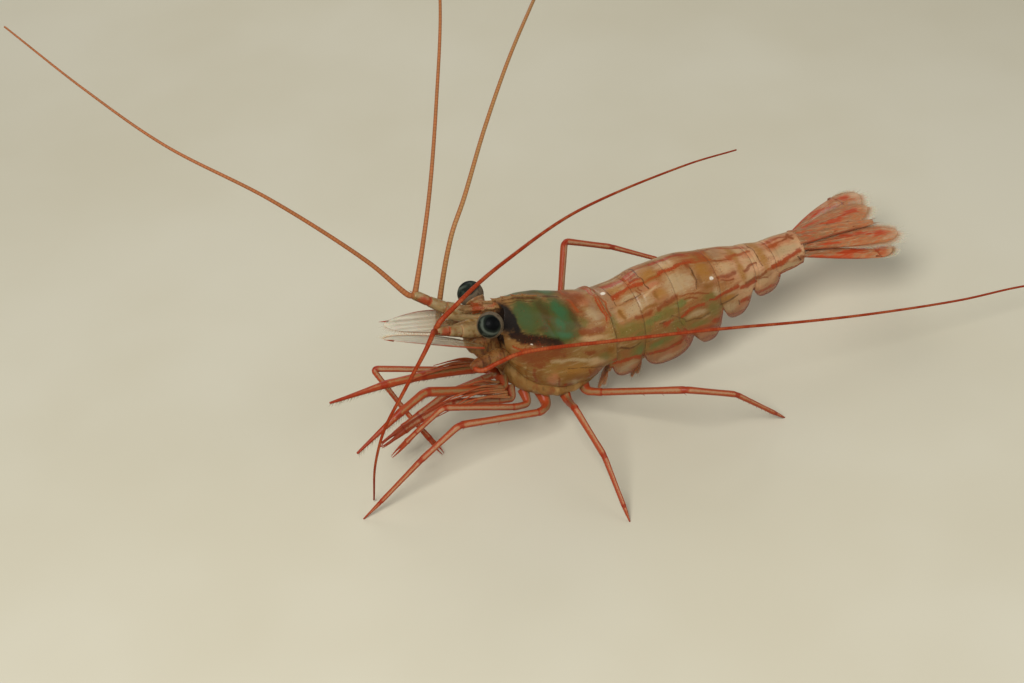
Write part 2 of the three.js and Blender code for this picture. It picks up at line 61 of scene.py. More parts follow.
# %% From the animal's frame to the shared one
MM = 0.001
SIDES = {"left": -1, "right": 1}
EYE_AT = {"left": (-3.7, -3.0, 18.6), "right": (-3.1, 3.0, 18.5)}
EYE_RADIUS = 1.45
eye_low, eye_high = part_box("eye_left")
SHIFT = (np.array(eye_low) + np.array(eye_high)) / 2 - np.array(EYE_AT["left"]) * MM


def placed(points):
    """Millimetres in the animal's frame to metres in the shared one."""
    return np.asarray(points, float) * MM + SHIFT


print("step between the frames", (SHIFT / MM).round(2), "mm")

# %% [markdown]
# ## The camera
# It looks down on the left flank from in front, as one looks at a small animal on the ground. It could be
# turned by hand until the view is right, but its place is worked out from two angles and a distance, so it
# can be changed one number at a time. The lens is long enough to keep the head and the tail at one scale,
# and the camera is rolled by a few degrees once it is aimed.

# %% Where the camera looks from
VIEW = {"azimuth": -24.0, "height": 40.0, "roll": 5.0, "distance": 190.0, "width": 113.0}
LOOK_AT = (0.0, 0.0, 12.5)
SENSOR = 36.0
NEAREST, FARTHEST = 0.005, 10.0


def aim(azimuth, height, roll):
    """Right, up and back axes of a camera that circles the z axis, climbs to a height and then rolls."""
    a, e, r = (math.radians(v) for v in (azimuth, height, roll))
    back = np.array([math.sin(a) * math.cos(e), -math.cos(a) * math.cos(e), math.sin(e)])
    level = np.array([math.cos(a), math.sin(a), 0.0])
    up = np.cross(back, level)
    return level * math.cos(r) - up * math.sin(r), level * math.sin(r) + up * math.cos(r), back


right, up, back = aim(VIEW["azimuth"], VIEW["height"], VIEW["roll"])
print("camera looks along", (-back).round(2))

# %% The camera itself
lens = bpy.data.cameras.new("camera")
lens.sensor_width = SENSOR
lens.sensor_fit = "HORIZONTAL"
lens.lens = SENSOR * VIEW["distance"] / VIEW["width"]
lens.clip_start = NEAREST
lens.clip_end = FARTHEST
camera = bpy.data.objects.new("camera", lens)
turn = np.eye(4)
turn[:3, :3] = np.stack([right, up, back], axis=1)
turn[:3, 3] = placed(np.array(LOOK_AT) + back * VIEW["distance"])
camera.matrix_world = Matrix(turn.tolist())
bpy.context.scene.collection.objects.link(camera)
bpy.context.scene.camera = camera
print("lens", round(lens.lens, 1), "mm")

# %% [markdown]
# ## Numbers
# Most sizes of a body change smoothly from head to tail. They could be drawn as curves by hand, but a few
# stations with a cubic between them are quicker to read and to change. A few more helpers do what every
# piece needs.


# %% Smooth numbers
def through(*pairs):
    """Cubic pieces through (station, value) pairs, with each slope taken from the two neighbours."""
    at, value = np.array(pairs, float).T
    order = np.arange(len(at))
    low, high = np.maximum(order - 1, 0), np.minimum(order + 1, len(at) - 1)
    slope = (value[high] - value[low]) / (at[high] - at[low])

    def curve(x):
        """The cubic's value at x, held outside the stations."""
        x = np.asarray(x, float)
        k = np.clip(np.searchsorted(at, x, side="right") - 1, 0, len(at) - 2)
        span = at[k + 1] - at[k]
        t = np.clip((x - at[k]) / span, 0, 1)
        h = t * t * (3 - 2 * t)
        bend = slope[k] * t * (1 - t) ** 2 - slope[k + 1] * t * t * (1 - t)
        return value[k] * (1 - h) + value[k + 1] * h + span * bend

    return curve


def rise(low, high, x):
    """0 up to low, 1 from high, and a smooth step between."""
    t = np.clip((np.asarray(x, float) - low) / (high - low), 0, 1)
    return t * t * (3 - 2 * t)


def mixed(a, b, t):
    """The value a share t of the way from a to b."""
    return a + (b - a) * t


def bell(x, middle, width):
    """A bell curve: 1 at the middle, 0.37 at `width` from it and nearly 0 at twice that."""
    return np.exp(-((x - middle) / width) ** 2)


def unit(vectors):
    """The same directions with length one."""
    return vectors / np.linalg.norm(vectors, axis=-1, keepdims=True)


def circle(sides):
    """Equal angles once round, as a row."""
    return np.linspace(0, 2 * np.pi, sides, endpoint=False)[None]


def points_of(x, y, z):
    """One array of points from three coordinates that are spread over the same grid."""
    return np.stack(np.broadcast_arrays(x, y, z), -1)


def ripple(points, size, seed, waves=7):
    """Soft unevenness, mostly from -1 to 1: the mean of sine waves in random directions, each about `size`
    mm long, made 2.2 times as strong because the waves partly cancel."""
    rng = np.random.default_rng(seed)
    ways = unit(rng.normal(size=(waves, 3))) * rng.uniform(0.7, 1.6, (waves, 1)) * 2 * np.pi / size
    return np.sin(points @ ways.T + rng.uniform(0, 6.3, waves)).mean(-1) * 2.2


print("helpers for numbers ready")

# %% [markdown]
# ## Lines
# A feeler is a smooth line through a few points, and a leg is made of straight lengths with a short bend at
# each joint. Both could be curve objects with a bevel, but rings of points round the line can also carry
# marks for the finish, such as the distance walked along it.


# %% Lines through space
def evened(points, steps):
    """The same line with its points at equal distances."""
    walked = np.concatenate([[0], np.cumsum(np.linalg.norm(np.diff(points, axis=0), axis=1))])
    keep = np.concatenate([[True], np.diff(walked) > 1e-9])
    stops = np.linspace(0, walked[-1], steps + 1)
    return np.stack([np.interp(stops, walked[keep], points[keep, k]) for k in range(3)], axis=1)


def feeler_line(points, steps, cuts=40):
    """Centripetal Catmull-Rom curve: between two points it is a cubic whose slopes come from the distances
    to the neighbours, so it passes through every point without loops. It is then cut into equal lengths."""
    p = np.array(points, float)
    p = np.vstack([2 * p[0] - p[1], p, 2 * p[-1] - p[-2]])
    gap = np.linalg.norm(np.diff(p, axis=0), axis=1) ** 0.5
    t = np.linspace(0, 1, cuts)[:, None]
    lengths = []
    for i in range(1, len(p) - 2):
        before, here, after = gap[i - 1], gap[i], gap[i + 1]
        step = (p[i + 1] - p[i]) / here
        leave = ((p[i] - p[i - 1]) / before - (p[i + 1] - p[i - 1]) / (before + here) + step) * here
        arrive = (step - (p[i + 2] - p[i]) / (here + after) + (p[i + 2] - p[i + 1]) / after) * here
        square, cube = t * t, t ** 3
        lengths.append(p[i] * (2 * cube - 3 * square + 1) + leave * (cube - 2 * square + t)
                       + p[i + 1] * (3 * square - 2 * cube) + arrive * (cube - square))
    return evened(np.vstack(lengths), steps)


def limb_line(joints, bend=0.7, step=0.12, most=0.35):
    """Straight lengths, joined by a parabola that starts `bend` mm before each joint, or at `most` of a
    short length. Also each point's place in joints: 1.5 is half way along the second length."""
    p = np.array(joints, float)[:, :3]
    reach = np.linalg.norm(np.diff(p, axis=0), axis=1)
    cuts = np.minimum(bend, most * reach) / reach
    line, place = [], []
    for i, length in enumerate(reach):
        first = 0.0 if i == 0 else cuts[i]
        last = 1.0 if i == len(reach) - 1 else 1 - cuts[i]
        t = np.linspace(first, last, max(int(length / step), 4))
        line.append(mixed(p[i], p[i + 1], t[:, None]))
        place.append(i + t)
        if i < len(reach) - 1:
            s = np.linspace(0, 1, 8)[1:-1, None]
            start, end = mixed(p[i], p[i + 1], last), mixed(p[i + 1], p[i + 2], cuts[i + 1])
            line.append(start * (1 - s) ** 2 + 2 * p[i + 1] * s * (1 - s) + end * s * s)
            place.append(i + last + (cuts[i] + cuts[i + 1]) * s[:, 0])
    return np.vstack(line), np.concatenate(place)


print("helpers for lines ready")


# %% Tubes round a line
def carried(line, towards):
    """Two axes across the line at each point. The first starts near `towards` at the far end, and at each
    point before it loses only its part along the line, so it never twists."""
    goes = unit(np.gradient(line, axis=0))
    across = np.zeros_like(line)
    side = np.array(towards, float)
    for i in reversed(range(len(line))):
        side = side - goes[i] * (side @ goes[i])
        side = side / np.linalg.norm(side)
        across[i] = side
    return across, np.cross(goes, across)


def tube(line, radius, sides, towards=(0, -0.75, 0.65), flat=1.0):
    """Rings round a line: radius times the cosine of the turn along the first axis, and times its sine and
    `flat` along the second."""
    across, other = carried(line, towards)
    turn = circle(sides)[0]
    radius = np.broadcast_to(radius, len(line))[:, None, None]
    return (line[:, None] + radius * (np.cos(turn)[:, None] * across[:, None]
                                      + flat * np.sin(turn)[:, None] * other[:, None]))


print("helpers for tubes ready")

# %% [markdown]
# ## Putting a surface into Blender
# A closed skin is a stack of rings with equally many points. It could be built vertex by vertex, but whole
# arrays are far quicker: neighbouring rings are joined by four-cornered faces and a fan closes each end, so
# there are no holes. A piece may hold several skins. Its marks are numbers kept at each point, such as the
# distance down the flank, and the materials read them.


# %% Arrays into a mesh
def strips(ids):
    """Quads between neighbouring rings of point numbers. The last point of a ring is joined to its first."""
    beside = np.roll(ids, -1, axis=-1)
    corners = ids[..., :-1, :], beside[..., :-1, :], beside[..., 1:, :], ids[..., 1:, :]
    return np.stack(corners, -1).reshape(-1, 4)


def mesh_of(name, points, corners, counts):
    """A smooth mesh from its points, the point at each corner of each face, and each face's corner count."""
    mesh = bpy.data.meshes.new(name)
    mesh.vertices.add(len(points))
    mesh.vertices.foreach_set("co", points.astype(np.float32).ravel())
    mesh.loops.add(len(corners))
    mesh.loops.foreach_set("vertex_index", corners.astype(np.int32))
    mesh.polygons.add(len(counts))
    starts = np.concatenate([[0], np.cumsum(counts)[:-1]])
    mesh.polygons.foreach_set("loop_start", starts.astype(np.int32))
    mesh.update(calc_edges=True)
    mesh.polygons.foreach_set("use_smooth", np.ones(len(counts), bool))
    return mesh


print("ready to make meshes")


# %% Skins into pieces
class Clay:
    """Collects closed skins, with their marks, and makes one object of them."""

    def __init__(self):
        self.points, self.corners, self.counts, self.marks, self.patches = [], [], [], [], []
        self.total = 0

    def skin(self, rings, **marks):
        """Rings[i, j] joined in quads, with a fan at each end. Its faces are turned outwards by the sign of
        the volume that they enclose."""
        rings = np.asarray(rings, float)
        n, m = rings.shape[:2]
        ids = np.arange(n * m).reshape(n, m)
        quads, beside = strips(ids), np.roll(ids, -1, axis=1)
        tips = np.full((2, m), [[n * m], [n * m + 1]])
        fans = np.concatenate([np.stack([beside[0], ids[0], tips[0]], -1),
                               np.stack([ids[-1], beside[-1], tips[1]], -1)])
        points = np.vstack([rings.reshape(-1, 3), rings[[0, -1]].mean(axis=1)])
        a, b, c, d = (points[quads[:, k]] for k in range(4))
        e, f, g = (points[fans[:, k]] for k in range(3))
        volume = (a * np.cross(b, c)).sum() + (a * np.cross(c, d)).sum() + (e * np.cross(f, g)).sum()
        if volume < 0:
            quads, fans = quads[:, ::-1], fans[:, ::-1]
        spread = {}
        for name, value in marks.items():
            field = np.broadcast_to(value, (n, m))
            spread[name] = np.concatenate([field.ravel(), field[[0, -1]].mean(axis=1)])
        self.take(points, [quads, fans], spread)

    def take(self, points, faces, marks, patches=None):
        """Adds points and faces, moving the faces' numbers past those already held."""
        self.points.append(points)
        for group in faces:
            self.corners.append((group + self.total).ravel())
            self.counts.append(np.full(len(group), group.shape[1]))
        self.marks.append(marks)
        self.patches.append(np.zeros((len(points), 2)) if patches is None else patches)
        self.total += len(points)

    def piece(self, name, material, slot, nodes=()):
        """One mesh object that rides with the body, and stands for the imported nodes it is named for."""
        points = placed(np.vstack(self.points))
        corners, counts = np.concatenate(self.corners), np.concatenate(self.counts)
        mesh = mesh_of(name, points, corners, counts)
        for mark in sorted({key for marks in self.marks for key in marks}):
            held = [marks.get(mark, np.zeros(len(p))) for marks, p in zip(self.marks, self.points)]
            layer = mesh.attributes.new(mark, "FLOAT", "POINT")
            layer.data.foreach_set("value", np.concatenate(held).astype(np.float32))
        patches = np.vstack(self.patches)
        if patches.any():
            layer = mesh.uv_layers.new(name="OFBake")
            layer.data.foreach_set("uv", patches[corners].astype(np.float32).ravel())
        mesh.materials.append(material)
        made = bpy.data.objects.new(name, mesh)
        bpy.context.scene.collection.objects.link(made)
        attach(made, "root")
        if nodes:
            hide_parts(*nodes)
        print(name, len(points), "points", len(counts), "faces")


print("ready to shape")

# %% [markdown]
# ## Hairs, bristles and spines
# Shrimps are fringed with fine bristles on their blades and mouth legs, and their walking legs carry rows of
# small spines. A hair system would do for a render, but it leaves no mesh, so each is a slim three-sided
# cone, and hundreds are made at once from arrays of roots and directions. Fringes are pieces of their own,
# and each bristle gets its own small patch of the map.

# %% Cones in rows
CONE_SIDES = 3
TIP_SHARE = 0.1
PATCH_SIZE = 0.001


def bristles(clay, roots, goes, length, radius, stops=4, patch=None, **marks):
    """Cones from `roots` along `goes`, thinning evenly to a tenth at the tip. Each is a few rings of three
    points, and its points may share one small patch of the map."""
    roots = np.asarray(roots, float)
    goes = unit(np.broadcast_to(goes, roots.shape).astype(float))
    count = len(roots)
    length, radius = np.broadcast_to(length, count), np.broadcast_to(radius, count)
    t = np.linspace(0, 1, stops)
    line = roots[:, None] + goes[:, None] * (length[:, None] * t)[..., None]
    helper = np.where(np.abs(goes[:, 2:]) > 0.8, [[1.0, 0, 0]], [[0, 0, 1.0]])
    side = unit(np.cross(goes, helper))
    other = np.cross(goes, side)
    turn = np.arange(CONE_SIDES) * 2 * np.pi / CONE_SIDES
    ring = np.cos(turn)[:, None] * side[:, None] + np.sin(turn)[:, None] * other[:, None]
    thick = radius[:, None] * mixed(1, TIP_SHARE, t)
    points = line[:, :, None] + thick[..., None, None] * ring[:, None]
    ids = np.arange(count * stops * CONE_SIDES).reshape(count, stops, CONE_SIDES)
    caps = np.concatenate([ids[:, 0, ::-1], ids[:, -1]])
    held = {key: np.broadcast_to(np.reshape(value, (-1, 1, 1)), points.shape[:3]).ravel()
            for key, value in marks.items()}
    held["out"] = np.broadcast_to(t[None, :, None], points.shape[:3]).ravel()
    patches = None
    if patch is not None:
        corner = np.array([[0.0, 0.0], [PATCH_SIZE, 0.0], [PATCH_SIZE / 2, PATCH_SIZE]])
        spot = np.broadcast_to(patch, (count, 2))[:, None, None] + corner[None, None]
        patches = (spot + [0, 2 * PATCH_SIZE] * t[None, :, None, None]).reshape(-1, 2)
    clay.take(points.reshape(-1, 3), [strips(ids), caps], held, patches)


print("ready to plant bristles")

# %% [markdown]
# ## Finishes as sums
# The pattern of a shell is many soft layers of colour. It could be painted on an image, but sums of noise
# stay sharp at any distance. They are easier to read as arithmetic than as a chain of nodes, so a small
# class lets a value in a material be added, multiplied and stepped. Colours are written the web way and
# turned into light.


# %% Colours
def ink(code):
    """Red, green, blue and alpha, in linear light, of a web colour."""
    parts = np.array([int(code[i:i + 2], 16) for i in (1, 3, 5)]) / 255
    light = np.where(parts <= 0.04045, parts / 12.92, ((parts + 0.055) / 1.055) ** 2.4)
    return (*light.tolist(), 1.0)


print("mid grey in linear light", round(ink("#808080")[0], 3))


# %% Values that add up
class Term:
    """A value or a colour on its way through a material."""

    def __init__(self, finish, socket):
        self.finish, self.socket = finish, socket

    def math(self, operation, other=0.0):
        """This value and another through one math node."""
        node = self.finish.node("ShaderNodeMath", operation=operation)
        self.finish.feed(node.inputs[0], self)
        self.finish.feed(node.inputs[1], other)
        return Term(self.finish, node.outputs[0])

    def __add__(self, other):
        return self.math("ADD", other)

    def __sub__(self, other):
        return self.math("SUBTRACT", other)

    def __mul__(self, other):
        return self.math("MULTIPLY", other)

    def above(self, low, high):
        """0 below low, 1 above high, smooth between. With low over high it falls instead."""
        node = self.finish.node("ShaderNodeMapRange", interpolation_type="SMOOTHSTEP")
        self.finish.feed(node.inputs["Value"], self)
        node.inputs["From Min"].default_value = low
        node.inputs["From Max"].default_value = high
        return Term(self.finish, node.outputs["Result"])

    def wave(self, length):
        """A sine of the value, one turn for each `length`, from 0 to 1."""
        return (self * (2 * math.pi / length)).math("SINE") * 0.5 + 0.5


print("sums ready")


# %% Marks and noises
class Patterns:
    """The nodes of a material that give the numbers which its colours are summed from."""

    def __init__(self, tree):
        self.tree = tree
        self.where = self.node("ShaderNodeTexCoord").outputs["Object"]

    def node(self, kind, **settings):
        """A new node with these settings."""
        node = self.tree.nodes.new(kind)
        for key, value in settings.items():
            setattr(node, key, value)
        return node

    def feed(self, socket, value):
        """A sum or a socket is linked to the input, and a plain number or colour is set on it."""
        if isinstance(value, Term):
            value = value.socket
        if isinstance(value, bpy.types.NodeSocket):
            self.tree.links.new(value, socket)
        else:
            socket.default_value = value

    def mark(self, name):
        """The number that each point of the piece holds under this name."""
        node = self.node("ShaderNodeAttribute", attribute_name=name)
        return Term(self, node.outputs["Fac"])

    def moved(self, size, stretch=(1, 1, 1), seed=0.0):
        """Object coordinates in units of `size` mm, longer along an axis by its stretch."""
        node = self.node("ShaderNodeMapping")
        self.feed(node.inputs["Vector"], self.where)
        node.inputs["Scale"].default_value = [1 / (size * MM * s) for s in stretch]
        node.inputs["Location"].default_value = (seed, seed * 0.7, -seed)
        return node.outputs["Vector"]

    def cloud(self, size, stretch=(1, 1, 1), seed=0.0, detail=2.0):
        """Noise about 0.5."""
        node = self.node("ShaderNodeTexNoise")
        self.feed(node.inputs["Vector"], self.moved(size, stretch, seed))
        node.inputs["Scale"].default_value = 1.0
        node.inputs["Detail"].default_value = detail
        return Term(self, node.outputs["Fac"])

    def grains(self, size, seed=0.0):
        """Distance to the nearest of scattered points: small inside a grain."""
        node = self.node("ShaderNodeTexVoronoi")
        self.feed(node.inputs["Vector"], self.moved(size, seed=seed))
        node.inputs["Scale"].default_value = 1.0
        return Term(self, node.outputs["Distance"])


print("patterns ready")


# %% One finish
class Finish(Patterns):
    """One material: a Principled shader, and the sums that feed it. Underscores in the names of its inputs
    stand for spaces."""

    def __init__(self, name, **numbers):
        self.material = bpy.data.materials.new(name)
        self.material.use_nodes = True
        super().__init__(self.material.node_tree)
        self.shader = self.tree.nodes["Principled BSDF"]
        self.colour = None
        for socket, value in numbers.items():
            self.shader.inputs[socket.replace("_", " ")].default_value = value

    def lay(self, under, over, amount):
        """A colour laid over another, as thickly as `amount` says: under times 1 - amount, plus over times
        amount."""
        node = self.node("ShaderNodeMix", data_type="RGBA")
        self.feed(node.inputs[0], amount)
        self.feed(node.inputs[6], ink(under) if isinstance(under, str) else under)
        self.feed(node.inputs[7], ink(over) if isinstance(over, str) else over)
        return Term(self, node.outputs[2])

    def coat(self, colour, amount):
        """One more colour laid over what is painted so far."""
        self.colour = self.lay(self.colour, colour, amount)

    def relief(self, height, depth):
        """Bumps `depth` mm high where height goes from 0 to 1."""
        node = self.node("ShaderNodeBump")
        node.inputs["Distance"].default_value = depth * MM
        self.feed(node.inputs["Height"], height)
        self.feed(self.shader.inputs["Normal"], node.outputs["Normal"])

    def paint(self, **inputs):
        """Feeds the colour painted so far, and the inputs named here, to the shader."""
        self.feed(self.shader.inputs["Base Color"], self.colour)
        for socket, value in inputs.items():
            self.feed(self.shader.inputs[socket.replace("_", " ")], value)


print("finishes ready")

# %% [markdown]
# ## Floor and light
# The animal lives on pale sand under shallow water, in soft light from above. A plain pale floor and three
# broad lamps give that light without the water: a strong one from the upper left, a weak one that fills the
# near side and one behind that lights the outline. The sky fills the shadows, and the colours are shown as
# they are.

# %% The floor
FLOOR_WIDTH = 3.0
bpy.ops.mesh.primitive_plane_add(size=FLOOR_WIDTH)
floor = bpy.context.object
floor.name = "floor"
pale = Finish("pale_floor", Roughness=0.9, Specular_IOR_Level=0.2)
pale.colour = "#c8c0a8"
pale.coat("#cec7b1", pale.cloud(40.0, detail=3.0).above(0.3, 0.7))
pale.paint()
floor.data.materials.append(pale.material)
print("floor", FLOOR_WIDTH, "m wide")

# %% The lamps and the sky
LAMPS = {
    # where it stands in mm, watts, how wide in mm
    "key": ((-130, -120, 240), 0.70, 150),
    "fill": ((170, -160, 130), 0.12, 180),
    "rim": ((60, 230, 160), 0.16, 140),
}
LIT_POINT = (2, 0, 10)
SKY_STRENGTH = 0.30
for name, (where, watts, width) in LAMPS.items():
    light = bpy.data.lights.new(name, "AREA")
    light.energy = watts
    light.size = width * MM
    light.shape = "DISK"
    lamp = bpy.data.objects.new(name, light)
    lamp.location = placed(where)
    lamp.rotation_euler = (Vector(placed(LIT_POINT)) - lamp.location).to_track_quat("-Z", "Y").to_euler()
    bpy.context.scene.collection.objects.link(lamp)
world = bpy.data.worlds.new("sky")
world.use_nodes = True
sky = world.node_tree.nodes["Background"]
sky.inputs["Color"].default_value = ink("#eef1f2")
sky.inputs["Strength"].default_value = SKY_STRENGTH
bpy.context.scene.world = world
bpy.context.scene.view_settings.view_transform = "Standard"
print("lamps", len(LAMPS))

# %% [markdown]
# ## Sizes of the trunk
# The trunk is a row of hoops that are highest over the chest and narrow to the tail. Its height, widths and
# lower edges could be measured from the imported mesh, but a few stations say the same in fewer numbers, and
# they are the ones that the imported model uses. So the finer skins lie on it.

# %% Stations
# Each pair is a place along the body and a height or a half width there, all in mm.
FRONT, CARAPACE_END = -1.6, 10.0
back_top = through((-1.6, 19.1), (1, 18.4), (4.4, 17.0), (7, 15.8), (10, 14.7))
carapace_half = through((-1.6, 2.7), (0, 3.8), (2.5, 4.6), (5, 4.9), (10, 4.5))
carapace_low = through((-1.6, 10.9), (0, 8.5), (2.5, 6.6), (5, 5.7), (7.5, 5.6), (10, 6.6))
breast_low = through((-1.5, 7.9), (0, 6.5), (2.5, 5.1), (4.5, 4.5), (9, 4.9))
tail_top = through((10.3, 14.4), (12.8, 14.2), (16.4, 14.9), (20.6, 15.1), (25, 14.2),
                   (30.4, 12.8), (33, 12.3), (37.4, 12.3))
tail_half = through((10.3, 4.3), (14, 4.25), (19, 4.05), (25, 3.5), (30, 2.8), (33, 2.35), (37.4, 1.85))
belly = through((10.3, 6.9), (16, 7.1), (21, 7.7), (25, 8.5), (30, 9.1), (33, 9.3), (37.4, 9.3))
# One number for each of the six rings, or for each end of them.
SEGMENT_ENDS = (10.3, 14.4, 18.9, 24.7, 30.0, 33.2, 37.4)
FLAP_LOW = (5.1, 4.5, 4.8, 6.3, 7.3, 9.2)
FLAP_SWEEP = (0, 0, 2.6, 0.9, 0, 1.0, 0)
HINGE_GAP = 0.3
print("trunk from", FRONT, "to", SEGMENT_ENDS[-1], "mm")

# %% [markdown]
# ## Markings
# The kind is known by thin red stripes that run back along a see-through body, with warm bands across each
# tail ring. Behind the eye a large green organ shows through the shell. Stripes could come from noise, but
# each animal wears a pattern that keeps to its plates, so every marking is a spot or a stroke, listed one by
# one on the unrolled flank: how far along the body, and how far down from the middle of the back.

# %% Spots, in mm along and mm down
# A spot is along, down, half length and half height.
SPOTS = {
    "cream": [(14.2, 3.3, 2.2, 0.75), (20.0, 2.9, 2.0, 1.3), (9.0, 2.7, 0.8, 0.8), (13.7, 1.9, 1.3, 0.25),
              (21.4, 7.4, 1.5, 0.4), (19.2, 2.1, 0.6, 0.35), (12.2, 10.6, 1.4, 0.6), (24.3, 4.9, 0.5, 0.6),
              (26.1, 7.7, 1.2, 0.7), (34.9, 1.6, 1.7, 0.5), (35.0, 3.7, 1.5, 0.35), (13.4, 0.4, 0.8, 0.4)],
    "pale": [(26.1, 2.2, 1.2, 0.6), (30.3, 1.6, 0.9, 0.6), (31.3, 4.6, 0.8, 0.6), (29.3, 3.6, 0.8, 0.4),
             (19.5, 0.1, 1.1, 0.6), (7.7, 5.5, 1.9, 0.3), (29.4, 0.0, 0.8, 0.5), (16.5, 12.3, 1.3, 0.4),
             (8.2, 8.7, 1.3, 0.5), (29.0, 5.6, 1.2, 0.3), (36.1, 0.85, 1.0, 0.12)],
    "grey": [(11.3, 1.0, 0.8, 2.4), (26.0, 0.0, 0.8, 0.9), (9.7, 3.1, 0.45, 0.35), (9.4, 1.6, 0.5, 1.2),
             (16.7, 1.9, 0.9, 0.3)],
    "pink": [(15.1, 0.4, 0.8, 0.5), (34.6, 0.4, 2.4, 0.6), (21.4, 11.2, 0.9, 0.5), (28.6, 7.9, 1.3, 0.4),
             (17.3, 11.7, 1.1, 0.4), (8.4, 0.6, 1.0, 0.9), (26.0, 3.4, 1.2, 0.4), (12.9, 10.9, 0.8, 0.3),
             (30.0, 1.0, 0.8, 0.4), (2.7, 11.4, 0.5, 1.3), (27.2, 1.3, 0.9, 0.4), (16.8, 2.0, 0.9, 0.3)],
    "amber": [(13.0, 0.1, 0.8, 0.6), (17.1, 0.2, 1.0, 1.1), (23.3, 2.4, 0.9, 1.4), (28.3, 0.6, 0.6, 0.9),
              (28.2, 2.9, 0.5, 1.4), (31.8, 1.5, 0.6, 2.0), (5.6, 9.8, 2.0, 0.8), (17.4, 3.3, 0.8, 0.6),
              (26.0, 6.1, 0.9, 0.35), (24.0, 0.2, 1.3, 0.7), (12.3, 3.4, 0.5, 0.7)],
    "ochre": [(16.8, 3.3, 0.25, 0.6), (22.5, 3.3, 0.35, 0.7), (23.4, 4.0, 0.8, 0.25), (17.3, 1.2, 1.0, 0.3),
              (5.0, 10.9, 1.6, 0.6), (1.1, 11.8, 0.5, 2.6), (24.2, 0.5, 0.9, 0.5), (9.7, 7.3, 0.6, 0.4)],
    "olive": [(12.4, 5.3, 2.2, 0.9), (17.6, 5.6, 1.7, 0.9), (23.2, 5.5, 1.1, 0.6), (23.8, 7.3, 0.9, 1.1),
              (19.0, 7.8, 1.2, 0.9), (13.6, 8.6, 0.9, 1.0), (7.3, 3.6, 0.6, 0.6), (9.2, 8.1, 0.9, 0.6),
              (16.3, 9.4, 1.7, 0.6), (21.3, 9.1, 1.5, 0.4), (11.0, 3.9, 0.5, 1.0), (14.2, 6.4, 1.2, 0.5)],
    "organ": [(1.1, 2.8, 1.6, 2.3), (3.0, 2.9, 1.8, 2.6), (5.0, 2.9, 1.7, 2.5), (4.1, 4.9, 2.1, 1.1)],
    "moss": [(15.7, 5.6, 1.2, 0.5), (19.5, 5.2, 0.8, 0.4), (13.7, 8.9, 0.5, 0.6), (15.9, 9.3, 0.8, 0.4)],
    "pine": [(0.8, 2.5, 1.0, 1.8), (3.6, 5.0, 1.2, 0.5)],
    "jade": [(5.0, 2.1, 0.8, 1.7), (4.6, 5.1, 1.0, 0.45), (4.5, 3.8, 0.5, 0.7)],
    "veil": [(3.1, 2.3, 0.55, 1.9), (6.4, 2.8, 0.4, 1.7), (2.4, 4.3, 0.7, 0.3)],
    "dusk": [(-1.3, 2.4, 0.85, 1.7), (-0.5, 3.2, 0.35, 1.1)],
    "rust": [(0.6, 7.4, 2.1, 1.3), (2.9, 7.3, 1.6, 0.8), (7.2, 1.0, 0.7, 1.8), (7.8, 0.2, 1.3, 0.7),
             (0.8, 8.0, 1.6, 0.7), (7.2, 7.3, 0.8, 0.3), (8.1, 11.2, 1.1, 1.7), (4.6, 13.6, 0.7, 1.6),
             (37.0, 3.3, 0.45, 0.4), (1.1, 8.8, 0.9, 0.5), (21.8, 1.2, 0.4, 0.5), (20.0, 11.0, 0.5, 1.0),
             (22.8, 10.3, 1.2, 0.4)],
    "orange": [(24.4, 0.4, 0.8, 0.45), (12.6, 1.15, 0.6, 0.3), (22.6, 0.5, 0.9, 0.4), (32.6, 3.3, 0.6, 0.2),
               (27.6, 1.0, 0.5, 0.4), (21.3, 9.9, 2.0, 0.3), (33.9, 0.4, 1.0, 0.4)],
    "red": [(17.4, 7.0, 0.6, 0.35), (23.9, 9.4, 0.7, 0.45), (34.1, 2.9, 0.7, 0.4), (28.6, 7.1, 0.8, 0.2),
            (11.4, 9.25, 0.9, 0.25), (18.0, 11.0, 0.4, 0.25)],
    # The last white spot, on the top of the first tail ring, is a painted highlight; the others are white
    # dots of the shell.
    "white": [(0.5, 5.9, 0.14, 0.14), (1.75, 6.45, 0.13, 0.13), (24.0, 3.25, 0.32, 0.24),
              (11.6, 0, 0.26, 0.3)],
}
print("spots", sum(len(spots) for spots in SPOTS.values()))

